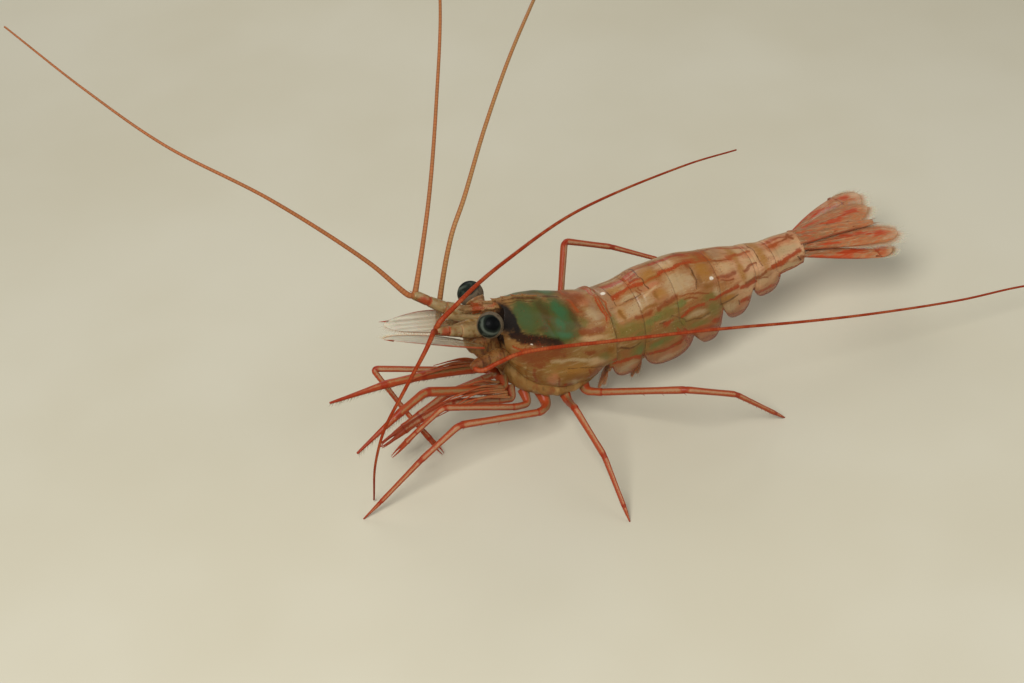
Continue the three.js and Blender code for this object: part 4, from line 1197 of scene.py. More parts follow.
# %% Clear shell finish
clear = Finish("clear_shell", Roughness=0.35, Specular_IOR_Level=0.2, Coat_Weight=0.1, Coat_Roughness=0.15,
               Subsurface_Weight=0.15, Subsurface_Scale=0.2 * MM)
milk = clear.cloud(0.9, detail=3.0)
lines = clear.mark("lines")
clear_rim = (clear.mark("rim") + (clear.cloud(0.3) - 0.5) * 0.5).above(0.3, 0.75)
outline = (clear.mark("outline") + (milk - 0.5) * 0.6).above(0.3, 0.8)
dots = clear.grains(0.36, seed=1).above(0.24, 0.12) * clear.cloud(1.3, seed=6).above(0.48, 0.65)
clear.colour = "#ad9162"
clear.coat("#86602f", milk.above(0.42, 0.68))
clear.coat("#e0d8c0", clear.mark("pale") * 0.9)
clear.coat("#6d4420", lines * 0.85)
clear.coat("#96381a", clear_rim * 0.9)
clear.coat("#a5421f", dots * 0.75)
clear.coat("#6a4420", outline * 0.8)
clear.relief(lines + milk, 0.02)
clear.paint(Alpha=(clear.mark("thin") * -0.75 + 1.0) + clear_rim * 0.5 + lines * 0.45 + outline * 0.5)
print("finish", clear.material.name)


# %% Balls and stalks
def ball(centre, axis, radius, stops=72, sides=96):
    """Circles round an axis, from one pole to the other: radius times the cosine of the turn along it, and
    times its sine across it."""
    turn = np.linspace(0, np.pi, stops + 2)[1:-1]
    line = np.array(centre) + radius * np.cos(turn)[:, None] * np.array(axis)
    around = circle(sides)[0]
    first = unit(np.cross(axis, [0, 0, 1.0]))
    other = np.cross(axis, first)
    ring = np.cos(around)[:, None] * first + np.sin(around)[:, None] * other
    return line[:, None] + radius * np.sin(turn)[:, None, None] * ring


def hundreds_of_degrees(ways, towards):
    """The angle of each direction from another, in hundreds of degrees."""
    return np.degrees(np.arccos(np.clip(ways @ towards, -1, 1))) / 100


STALK_SIDES = 36
STALK_INSIDE, COLLAR = 0.25, 0.1
STALK_WIDTHS = (0.75, 0.85, 0.9, 1.15, 1.2)


def stalk_rings(root, centre):
    """A tube from a little inside the head to the ball, widest at its collar. Also how much each ring
    belongs to the collar."""
    length = np.linalg.norm(centre - root)
    end = (length - 0.55 * EYE_RADIUS) / length
    place = np.linspace(-STALK_INSIDE, end, 40)
    radius = np.interp(place, [-STALK_INSIDE, 0.1, 0.35, end - COLLAR, end], STALK_WIDTHS)
    rings = tube(root + (centre - root) * place[:, None], radius, STALK_SIDES)
    rings += 0.03 * ripple(rings, 0.8, 51)[..., None]
    return rings, bell(place, end - COLLAR, 0.06)[:, None]


print("eye", 2 * EYE_RADIUS, "mm across")

# %% Eyes on their stalks
# The direction in which each eye's facets open, and how far they reach: the far eye shows more of them.
FACETS = {"left": ((-0.48, -0.71, 0.52), 1.0), "right": ((-0.25, 0.35, 0.9), 1.2)}
ARC_SIDE = (-0.83, 0, -0.55)
for side, hand in SIDES.items():
    centre, root = np.array(EYE_AT[side]), np.array([-2.85, hand * 0.95, 17.1])
    rings = ball(centre, unit(centre - root), EYE_RADIUS)
    facing = unit(rings - centre)
    opening, reach = FACETS[side]
    eyeball = Clay()
    eyeball.skin(rings, gaze=hundreds_of_degrees(facing, unit(np.array([-0.09, hand * 0.71, 0.7]))),
                 skin=hundreds_of_degrees(facing, unit(np.array(opening))) / reach,
                 ahead=rise(-0.5, 0.3, facing @ ARC_SIDE))
    eyeball.piece(f"eyeball_{side}", eye.material, "eye", [f"eye_{side}"])
    rings, collar = stalk_rings(root, centre)
    stalk = Clay()
    stalk.skin(rings, thin=0.1, lines=0.8 * collar, rim=0.45,
               outline=0.8 * np.abs(np.sin(circle(STALK_SIDES))) ** 8)
    stalk.piece(f"stalk_{side}", clear.material, "clear_shell", [f"eyestalk_{side}"])

# %% [markdown]
# ## Stalks of the small feelers
# Three ring-like joints in a row, clear and freckled with red, with a small spine at the end of each, carry
# two long whips on either side. They could be three tubes, but the joints only show as narrow waists, so
# each stalk is one tube with its radius pinched at two places. A second tube above it fills the socket.

# %% Small feeler stalks
ANTENNULE_END = {"left": (-9.3, -1.6, 19.3), "right": (-9.7, 2.5, 21.5)}
# The radius at these shares of the length, and where the waists and the small spines are.
SMALL_STALK_RADII = (0, 0.2, 0.42, 0.54, 0.58, 0.79, 1.0), (0.85, 0.94, 0.86, 0.7, 0.66, 0.56, 0.54)
WAISTS = np.array([0.54, 0.79])
SPINES = np.array([0.52, 0.77, 0.97])
for side, hand in SIDES.items():
    root, end = np.array([-3.4, hand * 0.95, 16.7]), np.array(ANTENNULE_END[side])
    place = np.linspace(0, 1, 110)
    line = root + (end - root) * place[:, None]
    line[:, 2] -= 0.25 * np.sin(np.pi * place)
    near = np.abs(place[:, None] - WAISTS).min(axis=1)
    radius = np.interp(place, *SMALL_STALK_RADII)
    rings = tube(line, radius * (1 - 0.1 * bell(near, 0, 0.012)), 32)
    turn = circle(32)
    blotch = 0.85 * bell(place[:, None], 0.88, 0.1) * (0.5 - 0.5 * np.sin(turn - 0.6)) ** 0.7
    red = np.pad(0.5 * bell(near, 0, 0.03)[:, None] + blotch, ((DOME, DOME), (0, 0)), mode="edge")
    small_stalk = Clay()
    small_stalk.skin(rounded_ends(rings, DOME), thin=0.35, rim=red,
                     lines=0.35 * np.abs(np.sin(turn * 2)) ** 3, outline=np.abs(np.sin(turn)) ** 8)
    lobe = feeler_line([(-3.2, hand * 0.5, 16.95), (-5, hand * 0.6, 17.7 + 0.15 * hand),
                        (-6.9, hand * 0.75, 18.35 + 0.35 * hand)], 40)
    lobe_radius = np.interp(np.linspace(0, 1, len(lobe)), (0, 0.6, 1), (0.6, 0.62, 0.4))
    small_stalk.skin(rounded_ends(tube(lobe, lobe_radius, 24), DOME), thin=0.15, lines=0.1)
    bristles(small_stalk, root + (end - root) * SPINES[:, None] + [0, hand * 0.5, 0],
             unit(end - root) + [0, hand * 0.25, 0], 0.7, 0.1, rim=1)
    small_stalk.piece(f"small_stalk_{side}", clear.material, "clear_shell", [f"antennule_stalk_{side}"])

# %% [markdown]
# ## Leaves
# The scale beside each large feeler, the middle plate of the tail and its four blades are all thin leaves.
# A leaf could be a flat sheet given a thickness, but a real one is thick along its rib and fine at its rim.
# So it is a stack of lens sections along a straight rib, then turned and moved into place. Its edge is
# followed again to plant the fringe of bristles.


# %% Leaf shapes
def turned(root, yaw, pitch, roll):
    """Places a leaf: roll about its rib first, then pitch, then yaw, in degrees."""
    yaw, pitch, roll = (math.radians(v) for v in (yaw, pitch, roll))
    turn = (Matrix.Rotation(yaw, 3, "Z") @ Matrix.Rotation(pitch, 3, "Y") @ Matrix.Rotation(roll, 3, "X"))
    matrix, root = np.array(turn), np.array(root, float)
    return lambda points: np.asarray(points, float) @ matrix.T + root


def leaf_rings(place, length, left, right, thick, shape, stops=110, sides=64):
    """Lens sections: `left` and `right` give the half widths, `thick` the thickness over the rib, and `shape`
    the height of the middle surface. Also each point's share of the length, its share of the half width
    and its distance from the rib."""
    t = np.linspace(0, 1, stops)[:, None]
    turn = circle(sides)
    across = np.cos(turn) + 0 * t
    y = np.where(across > 0, right(t), left(t)) * across
    z = 0.5 * thick(t, across) * np.sign(np.sin(turn)) * np.abs(np.sin(turn)) ** 0.8 + shape(t, y)
    return place(points_of(t * length, y, z)), t + 0 * across, across, y


def tip_round(t, start):
    """1 up to `start`, then a quarter circle down to nearly nothing at the tip."""
    return np.sqrt(np.clip(1 - (np.clip((t - start) / (1 - start), 0, 1)) ** 2, 0.001, 1))


def spine(clay, place, base, tip, length, radius, **marks):
    """One spine on a leaf, from base towards tip, both in the leaf's own frame."""
    root = place([base])
    bristles(clay, root, place([tip]) - root, length, radius, **marks)


print("ready to cut leaves")


# %% Fringes
def fringe(clay, place, length, left, right, shape, rows, reach, radius, seed, row, lean=0.0):
    """Bristles along the edge of a leaf. `rows` is a list of (side, from, to, how many). Each leans from the
    edge's own normal towards the tip, with a little chance in its place, direction and length."""
    rng = np.random.default_rng(seed)
    for side, start, stop, count in rows:
        t = np.linspace(start, stop, count) + rng.normal(0, 0.3 / count, count)
        t = np.clip(t, 0, 0.9995)
        half = right if side > 0 else left
        width = half(t)
        slope = (half(np.minimum(t + 0.002, 1)) - half(t - 0.002)) / (0.004 * length)
        y = side * width
        roots = points_of(t * length, y, shape(t, y))
        goes = points_of(-slope + 0.55 + lean, side, rng.normal(0, 0.05, count))
        planted = place(roots)
        outwards = place(roots + unit(goes)) - planted
        size = reach * (0.75 + 0.25 * rng.random(count)) * rise(start - 0.03, start + 0.3, t)
        patch = np.stack([0.03 + 0.9 * t, np.full(count, row)], -1)
        bristles(clay, planted - 0.05 * outwards, outwards, size, radius, patch=patch)


hair = Finish("hair", Roughness=0.6, Specular_IOR_Level=0.15, Subsurface_Weight=0.2,
              Subsurface_Scale=0.1 * MM)
hair.colour = "#cc9466"
hair.coat("#ecdfc2", hair.mark("out").above(0.0, 0.7))
hair.coat("#a8683c", hair.mark("tone").above(0.0, 0.5))
hair.coat("#8d7a44", hair.mark("tone").above(0.5, 1.0))
hair.paint(Alpha=hair.mark("out") * -0.35 + 0.45)
print("finish", hair.material.name)

# %% [markdown]
# ## Feeler scales
# Beside each large feeler stands a long clear blade. Its stiff outer edge is red and ends in a spine, and
# the soft inner one is fringed. The outline could be traced point by point, but one sum of sines says how
# each edge swells and narrows.

# %% Feeler scales
SCALE_LENGTH = {"left": 11.6, "right": 9.4}
SCALE_RISE = {"left": 26.5, "right": 21.0}
SPINE_SHARE = 0.92


def outer(t):
    """Half width of the stiff side."""
    return (0.85 + 0.5 * np.sin(np.pi * t ** 0.8) - 0.55 * t ** 3) * rise(1.06, 0.93, t) + 0.03


def inner(t):
    """Half width of the soft side."""
    return (0.45 + 1.3 * np.sin(np.pi * np.minimum(t ** 0.7, 1)) + 0.35 * t) * tip_round(t, 0.8)


def dished(t, y):
    """Height of the scale's middle: hollow, drooping, with a low fold along the rib."""
    return 0.10 * np.abs(y) ** 1.5 - 0.1 * t + 0.075 * bell(y, 0, 0.25) * (1 - t)


fringes = Clay()
for number, (side, hand) in enumerate(SIDES.items()):
    place = turned((-4.95, hand * 2.85, 16.05), 180 + hand * 4.5, -SCALE_RISE[side], hand * -18)
    length, stiff = SCALE_LENGTH[side], -hand
    left, right_half = (inner, outer) if stiff > 0 else (outer, inner)
    thick = lambda t, across: mixed(0.34, 0.12, t) + 0.14 * rise(0.5, 0.95, across * stiff) * (1 - t)
    rings, t, across, y = leaf_rings(place, length, left, right_half, thick, dished)
    ribs = np.abs(np.sin(y * 5.2 + 0.4 * t)) ** 6 + bell(y, stiff * 0.25, 0.08)
    scale = Clay()
    scale.skin(rings, thin=0.8, lines=0.6 * np.clip(ribs, 0, 1) * rise(1.0, 0.8, t), pale=rise(0.1, 0.75, t),
               rim=rise(0.72, 0.98, across * stiff) * mixed(0.85, 0.5, t),
               outline=rise(0.88, 0.99, -across * stiff) * rise(1.0, 0.8, t))
    spine_y = 0.8 * outer(SPINE_SHARE)
    spine_z = dished(SPINE_SHARE, outer(SPINE_SHARE))
    spine(scale, place, (length * SPINE_SHARE, stiff * spine_y, spine_z), (length, stiff * spine_y, spine_z),
          1.2, 0.13, rim=0.9)
    scale.piece(f"scale_{side}", clear.material, "clear_shell", [f"antenna_scale_{side}"])
    fringe(fringes, place, length, left, right_half, dished,
           [(-stiff, 0.25, 1.0, 150), (stiff, 0.975, 1.0, 12)], 1.15, 0.022, 60 + number, 0.1 + 0.05 * number)

# %% [markdown]
# ## Feelers
# Six long whips: two on each small stalk and one, longer than the body, on each large base. Each is built of
# hundreds of short rings, red-brown with painted light that makes the side turned to the lamps paler, thick
# near its root and drawn out very fine. The rings could be modelled, but they are finer than a hair, so a
# wave along the way gives them as relief.

# %% Feeler routes
# Thickness, how pale it is, mostly as painted light on the side turned to the lamps, and the points that it
# passes, in mm.
FEELERS = {
    "antennule_outer_right": (0.27, 0.55, [
        (-9.7, 2.5, 21.5), (-9.3, 2.8, 22.2), (-5.1, 7, 29.3), (-0.1, 14, 36.5), (4.4, 21, 43.8),
        (7.8, 29, 50), (10, 38, 54.5), (11, 45, 57)]),
    "antennule_inner_right": (0.27, 0.5, [
        (-9.9, 2.45, 21.5), (-10.45, 2.4, 21.9), (-13.3, 5, 25.6), (-21.2, 10, 33.8), (-29.1, 17, 39.4),
        (-34.4, 24, 44.2), (-39.4, 32, 49.3)]),
    "antennule_outer_left": (0.26, 0.0, [
        (-9.3, -1.55, 19.5), (-8.9, -1.6, 20.15), (-6.6, -1.1, 21.2), (-3.4, 0, 22), (1.2, 2, 22.1),
        (11.7, 6, 21.8), (28.4, 10, 19.6), (37, 12.2, 17.4)]),
    "antennule_inner_left": (0.27, 0.0, [
        (-9.5, -1.8, 19.45), (-9.85, -2.2, 19.8), (-10.4, -3.3, 20.5), (-11.8, -4.5, 19.9), (-15, -5, 16),
        (-17.8, -5.2, 12.1), (-19.3, -5, 7.8), (-19.5, -2.8, 0.35)]),
    "antenna_flagellum_left": (0.24, 0.0, [
        (-6.6, -4.3, 14.75), (-6, -4.95, 14.7), (-4.2, -5.3, 15.2), (-1.6, -5.5, 15.5), (9.7, -7, 13.4),
        (21.3, -9, 11.3), (31.1, -10.5, 9.1), (39.6, -12, 7.6), (51.5, -13.5, 5.6), (60.1, -14.6, 4.8),
        (70, -17, 3.6), (80, -20.5, 2.6)]),
    "antenna_flagellum_right": (0.30, 0.85, [
        (-6.6, 4.3, 14.9), (-6.55, 4.5, 15.5), (-5.8, 4.8, 18.7), (-3.3, 6.1, 24.6), (-0.7, 8, 27.1),
        (5.1, 14, 30.7), (11.5, 20, 34.5), (18.6, 27, 36.7), (30, 40, 37), (45, 54, 33.5), (57, 65, 28)]),
}
print("feelers", len(FEELERS))

# %% Feelers
RING_LENGTH = 0.36
WHIP_STEP = 0.13
WHIP_TIP = 0.10
WHIP_SIDES = 10
whip = Finish("feeler", Roughness=0.5, Specular_IOR_Level=0.12, Coat_Weight=0.03, Coat_Roughness=0.2)
painted_lit_side, small_rings = whip.mark("side"), whip.mark("walked").wave(RING_LENGTH)
whip.colour = "#8f300d"
# Painted light: the side of each feeler turned to the lamps is paler, with lighter orange patches on it.
whip.coat("#a8804f", whip.mark("pale") * (painted_lit_side.above(0.25, 0.95) * 0.7 + 0.3))
whip.coat("#b4683a", painted_lit_side.above(0.6, 1.0) * whip.cloud(1.6, detail=3.0).above(0.45, 0.6) * 0.35)
whip.coat("#64220d", small_rings.above(0.75, 1.0) * 0.35)
whip.relief(small_rings, 0.012)
whip.paint()
for name, (thick, paleness, route) in FEELERS.items():
    walked = np.linalg.norm(np.diff(feeler_line(route, 400), axis=0), axis=1).sum()
    line = feeler_line(route, int(walked / WHIP_STEP))
    share = np.linspace(0, 1, len(line))
    radius = mixed(thick, WHIP_TIP, share ** 0.8) * (1 + 0.25 * np.exp(-share * walked / 2.5))
    feeler = Clay()
    # side: how far each point faces the lamps, for the painted light.
    feeler.skin(tube(line, radius, WHIP_SIDES), walked=(share * walked)[:, None], pale=paleness,
                side=0.5 + 0.5 * np.cos(circle(WHIP_SIDES)))
    feeler.piece(f"whip_{name}", whip.material, "feeler_shell", [name])

# %% [markdown]
# ## Limbs
# Each leg is a row of tubes of shell, each swelling towards its far end and narrow at the joint. A still
# model needs no separate tubes, so a leg is one tube whose radius rises and falls. Two red lines run down
# its edges with a pale window between them, and the joints are deeper red. Rows of small spines stand under
# the lengths that touch the ground.

# %% Limb finish
limb = Finish("limb", Roughness=0.42, Specular_IOR_Level=0.15, Coat_Weight=0.07, Coat_Roughness=0.15,
              Subsurface_Weight=0.2, Subsurface_Radius=(1.0, 0.4, 0.25), Subsurface_Scale=0.25 * MM)
ragged, fine = limb.cloud(0.5, detail=3.0) - 0.5, limb.cloud(0.13, detail=2.0) - 0.5
deep = limb.mark("deep")
red_edge = (limb.mark("edge") + ragged * 0.5 + fine * 0.6 + deep * 0.5).above(0.16, 0.6)
red_joint = (limb.mark("knuckle") + deep + ragged * 0.7).above(0.4, 1.0)
limb.colour = "#b98860"
limb.coat("#8f6a38", limb.mark("brown") * 0.9)
limb.coat("#9c3a16", red_edge * 0.92)
limb.coat("#8a4a22", (limb.mark("vein") + fine * 1.4).above(0.5, 0.9) * 0.5)
limb.coat("#902b10", red_joint * 0.88)
limb.relief(ragged, 0.02)
limb.paint(Alpha=(red_edge + red_joint + deep) * 0.3 + 0.72)
print("finish", limb.material.name)

# %% The skin of a limb
# The side on which each leg's pale window lies, and how a ringed length is cut.
PALE_SIDE = {"left": np.array([0, -0.75, 0.65]), "right": np.array([0, -0.5, 0.85])}
SMALL_RINGS = 15


def side_of(name):
    """Left or right, from the last word of a name."""
    return name.split("_")[-1]


def swollen(radius, place, joints, waist):
    """The radius along a limb: thinner after each joint, thicker before the next, and a waist at the joint.
    Also how far each place is from its nearest joint."""
    fraction = place - np.floor(place)
    near = np.minimum(fraction, 1 - fraction)
    inner_joint = (place > -0.5) & (place < joints - 1.5)
    swell = 0.07 * rise(0.6, 0.95, fraction) * (place > 0)
    swell = swell - 0.04 * rise(0.0, 0.4, fraction) * rise(1.0, 0.6, fraction)
    return radius * (1 + swell - waist * bell(near, 0, 0.03) * inner_joint), near


def limb_skin(clay, joints, ends, towards, sides=18, waist=0.08, deep=0.0, brown=0.0, ringed=None):
    """One jointed tube that starts from a thick root inside the body. `ends` gives the radius at each joint,
    `deep` and `brown` the tones there, and `ringed` names a length that is cut into many small rings. Also
    its line, each point's place counted from the first joint, and the radius."""
    x, y, z = joints[0]
    line, place = limb_line([(x + 0.2, y * 0.5, z + 0.9)] + joints)
    place = place - 1
    at_joints = np.arange(len(ends))
    radius = np.interp(place, [-1, *at_joints], (ends[0] * 1.6, *ends))
    radius, near = swollen(radius, place, len(joints), waist)
    rings_on = 0
    if ringed is not None:
        cuts = np.sin((place - ringed) * 2 * np.pi * SMALL_RINGS)
        rings_on = (place > ringed + 0.06) & (place < ringed + 0.96)
        radius = radius * (1 + 0.04 * cuts * rings_on)
        rings_on = rings_on * rise(0.2, 0.9, cuts) * 0.5
    turn = circle(sides)
    knuckle = bell(near, 0, 0.06) * (place > -0.4) + rings_on
    deepness = np.interp(place, at_joints, np.broadcast_to(deep, len(ends)))[:, None]
    brownness = np.interp(place, at_joints, np.broadcast_to(brown, len(ends)))[:, None]
    clay.skin(tube(line, radius, sides, towards), edge=np.abs(np.sin(turn)) ** 1.1,
              vein=bell(np.sin(turn - 0.2), 0, 0.22), knuckle=knuckle[:, None],
              deep=deepness, brown=brownness)
    return line, place, radius


print("ready to shape limbs")


# %% Spines in rows
def beside(line, place, radius, at, ways):
    """For places on a limb: the points of its line, the way that it goes, the directions `ways` with their
    part along the limb taken off, and the radius."""
    index = np.searchsorted(place, at).clip(1, len(line) - 2)
    goes = unit(line[index + 1] - line[index - 1])
    ways = unit(ways - goes * (goes * ways).sum(axis=1, keepdims=True))
    return line[index], goes, ways, radius[index, None]


def rows_of_spines(clay, limb_at, start, stop, count, way, length, thick, seed):
    """Small spines along one side of a limb, leaning towards its tip."""
    rng = np.random.default_rng(seed)
    at = np.linspace(start, stop, count) + rng.normal(0, 0.01, count)
    points, goes, ways, radius = beside(*limb_at, at, np.array(way, float)[None])
    bristles(clay, points + ways * radius * 0.85, ways + goes * 1.1, length, thick, stops=3, deep=0.8)


print("ready to plant spines")

# %% [markdown]
# ## Mouth legs
# The last pair of mouth legs is as long as the walking legs. They reach forwards, dark red towards the tip,
# brown and bristly nearer the body, and comb the food. The smaller mouthparts between them are a tangle that
# no one could model part by part, so a few thin twigs on each side stand for it.

# %% Mouth legs
MAXILLIPEDS = {
    "left": [(-2.3, -2, 8.3), (-4.2, -2.1, 8.9), (-11.6, -2, 12), (-15, -2.5, 10.9), (-20.6, -3.1, 8.2)],
    "right": [(-2.3, 2, 8.3), (-4.2, 2.1, 8.9), (-10.2, 2.2, 10.5), (-14.4, 2.7, 10.8), (-20.8, 3.2, 10.7)],
}
# Each twig's start and end, with y outwards, and how far its middle is lifted.
TWIGS = (
    ((-2.6, 2.6, 8.6), (-9.4, 3.4, 9.7), 0.8), ((-2.8, 2.3, 9.0), (-8.4, 3.0, 10.6), 0.6),
    ((-3.0, 2.0, 9.4), (-7.0, 2.4, 11.0), 0.5), ((-2.6, 2.7, 7.9), (-8.2, 3.2, 8.6), 0.7),
    ((-2.2, 3.0, 7.6), (-9.9, 3.0, 9.0), 0.9), ((-2.4, 2.8, 8.3), (-10.4, 2.7, 10.3), 0.5),
    ((-2.6, 2.4, 8.8), (-12.3, 2.9, 10.0), 1.0), ((-2.4, 2.9, 8.0), (-11.4, 3.3, 9.1), 0.8),
    ((-2.8, 1.8, 9.2), (-12.8, 1.7, 11.0), 0.6),
)
TWIG_STEPS = 70
COMB_BRISTLES = 420
COMB_CHANGE = 2.7
combs = Clay()


def twigs(clay, hand):
    """Thin curved tubes that narrow to a quarter of their root."""
    for start, end, lift in TWIGS:
        ends = np.array([start, end]) * [1, hand, 1]
        line = feeler_line([ends[0], ends.mean(axis=0) + [0, 0, lift], ends[1]], TWIG_STEPS)
        share = np.linspace(0, 1, TWIG_STEPS + 1)
        clay.skin(tube(line, mixed(0.17, 0.04, share), 9), edge=0.32, deep=0.6 * share[:, None], brown=0.8)


def comb(limb_at, hand, number):
    """Bristles that hang below a mouth leg at places taken by chance, longer and darker towards its tip."""
    rng = np.random.default_rng(70 + number)
    at = rng.uniform(0.6, 3.96, COMB_BRISTLES)
    down = points_of(0, hand * rng.normal(0.1, 0.5, COMB_BRISTLES), -1)
    points, goes, down, radius = beside(*limb_at, at, unit(down))
    size = np.where(at > COMB_CHANGE, 0.75, 0.55) * rng.uniform(0.6, 1.1, COMB_BRISTLES)
    patch = np.stack([0.03 + 0.23 * at, np.full(COMB_BRISTLES, 0.22 + 0.04 * number)], -1)
    bristles(combs, points + down * radius * 0.9, down + goes * 0.9, size, 0.024, patch=patch,
             tone=np.where(at > COMB_CHANGE, 0.9, 0.45))


for number, (side, hand) in enumerate(SIDES.items()):
    leg = Clay()
    limb_at = limb_skin(leg, MAXILLIPEDS[side], (0.5, 0.56, 0.5, 0.44, 0.12), PALE_SIDE[side], 20, 0.06,
                        deep=(0.1, 0.1, 0.25, 0.5, 1.0), brown=(1, 1, 0.8, 0.6, 0.3))
    twigs(leg, hand)
    leg.piece(f"mouth_leg_{side}", limb.material, "limb_shell", [f"maxilliped_{side}"])
    comb(limb_at, hand, number)

# %% [markdown]
# ## Clawed legs
# The first two pairs end in small pincers. The first is short and stout, the second long and thin, with its
# last arm length cut into many rings so that it bends like a cord. A pincer could be carved from one lump,
# but its two fingers are bent cones, so each is a short tube that leaves the palm and comes back at the tip.

# %% Clawed legs
# The pincer's reach, the radius at each joint and at the palm, and the joints from the body out.
CLAWED_LEGS = {
    "leg_1_left": (3.2, (0.45, 0.44, 0.46, 0.44, 0.5), [
        (-1.6, -2.35, 6.6), (-2.9, -2.2, 6.9), (-8.4, -1.2, 8.3), (-12.4, -1.1, 7.6), (-14.3, -1.1, 7)]),
    "leg_1_right": (3.2, (0.45, 0.44, 0.46, 0.44, 0.5), [
        (-1.6, 2.35, 6.6), (-2.9, 2.2, 6.7), (-8, 1.3, 7.4), (-11.9, 0.9, 6.2), (-13.7, 0.8, 5.4)]),
    "leg_2_left": (2.4, (0.42, 0.38, 0.34, 0.28, 0.34), [
        (0, -2.95, 5.5), (-1.7, -3.3, 6.1), (-10.3, -3.3, 10.1), (-13.8, -2.9, 7.6), (-14.8, -2.8, 6.8)]),
    "leg_2_right": (2.3, (0.42, 0.38, 0.34, 0.28, 0.34), [
        (0, 2.95, 5.5), (-1.5, 3.9, 6.1), (-13.9, 7.9, 9), (-12, 3.6, 4.6), (-10.6, 1.2, 1.95)]),
}

# How far along the reach, how far apart and how thick, the last two in widths of the palm.
FINGER = ((0.15, 0.45, 0.62), (0.5, 0.66, 0.4), (0.85, 0.55, 0.24), (1, 0.3, 0.07))
FINGER_ROOT = (-0.4, 0.1, 0.85)
FINGER_STEPS = 40


def pincer(clay, wrist, palm, wide, reach, outward):
    """Two fingers that part from the palm's line by a share of its width and meet again at the tip, each
    with a few fine hairs."""
    goes = unit(palm - wrist)
    spread = unit(np.cross(goes, [0, 0, 1.0]))
    stops = [FINGER_ROOT] + [(share * reach, apart, thick) for share, apart, thick in FINGER]
    for finger in (1, -1):
        line = feeler_line([palm + goes * a + spread * finger * b * wide for a, b, _ in stops], FINGER_STEPS)
        share = np.linspace(0, 1, FINGER_STEPS + 1)
        radius = np.interp(share, np.linspace(0, 1, len(stops)), [thick * wide for *_, thick in stops])
        clay.skin(tube(line, radius, 14, outward), edge=0.5, deep=mixed(0.35, 0.9, share)[:, None])
        bristles(clay, line[8:40:4], goes + spread * finger * 0.9, 0.35, 0.025, stops=3, deep=0.4)


for name, (reach, ends, joints) in CLAWED_LEGS.items():
    outward = PALE_SIDE[side_of(name)]
    arm = Clay()
    limb_skin(arm, joints, ends, outward, 18, deep=(0, 0, 0.1, 0.3, 0.5), brown=(0.5, 0.3, 0, 0, 0),
              ringed=2 if "leg_2" in name else None)
    pincer(arm, *np.array(joints[-2:], float), ends[-1], reach, outward)
    arm.piece(f"arm_{name}", limb.material, "limb_shell", [name])

# %% [markdown]
# ## Walking legs
# Three pairs carry the animal on their tips. The thigh is the longest length and rises to the knee, then the
# leg falls to the floor in three shorter ones and ends in a small hooked claw. A rig could pose them, but a
# still model needs only the places of the joints, so these are written down and the skin follows.

# %% Joints of the walking legs
# From the body to the tip, which stands on the floor or hangs above it, in mm.
WALKING_LEGS = {
    "leg_3_left": [(2.1, -3.35, 4.6), (0.8, -4.5, 5.1), (-9.1, -4.4, 7.8), (-14, -4.5, 5.1),
                   (-19.6, -4.6, 1.3), (-21.6, -4.65, 0.07)],
    "leg_3_right": [(2.1, 3.3, 4.45), (1.7, 4.7, 5.2), (0.4, 10.2, 8.6), (0.9, 13, 5.4),
                    (1.8, 16.2, 1.3), (2.1, 17, 0.07)],
    "leg_4_left": [(4.6, -3.45, 4.45), (4.3, -4.8, 5), (2.4, -9.7, 9), (3.4, -14.1, 5),
                   (3.15, -18.9, 1), (3.1, -19.9, 0.07)],
    "leg_4_right": [(4.6, 3.4, 4.2), (5.4, 4.9, 5), (9, 10.4, 8.3), (11.4, 13.2, 5.2),
                    (14.3, 16.6, 1.2), (15, 17.4, 0.07)],
    "leg_5_left": [(7.1, -3.4, 4.45), (8, -4.9, 5), (14.2, -13.5, 9), (20.2, -14.1, 6),
                   (25.4, -14.7, 1), (26.4, -14.8, 0.07)],
    "leg_5_right": [(7.1, 3.35, 4.3), (8, 5, 5.2), (13.4, 12.5, 13), (19.4, 12.1, 10),
                    (25.3, 10.8, 6.5), (26.8, 11, 0.07)],
}
print("walking legs", len(WALKING_LEGS))

# %% Walking legs
WALKER_RADII = (0.55, 0.42, 0.40, 0.33, 0.24, 0.07)
for number, (name, joints) in enumerate(WALKING_LEGS.items()):
    side = side_of(name)
    hand = SIDES[side]
    walker = Clay()
    limb_at = limb_skin(walker, joints, WALKER_RADII, PALE_SIDE[side], 20,
                        deep=(0.05, 0.05, 0.12, 0.3, 0.45, 0.75), brown=(0.6, 0.4, 0, 0, 0, 0))
    rows_of_spines(walker, limb_at, 3.1, 3.95, 9, (0, 0.1 * hand, -1), 0.28, 0.045, number)
    rows_of_spines(walker, limb_at, 1.5, 1.95, 3, (0, hand, -0.6), 0.4, 0.06, 30 + number)
    rows_of_spines(walker, limb_at, 4.3, 4.8, 3, (0, 0.1 * hand, -1), 0.22, 0.04, 60 + number)
    walker.piece(f"walker_{name}", limb.material, "limb_shell", [name])

# %% [markdown]
# ## Tail fan
# The last ring carries a narrow middle plate with two pairs of blades beside it. Red colour gathers along the
# ribs and towards the tips, with clear windows between, and every blade has a soft fringe. The red could be
# painted by hand, but a mark for the rib, a few blushes and noise drawn out lengthwise give the same flames.

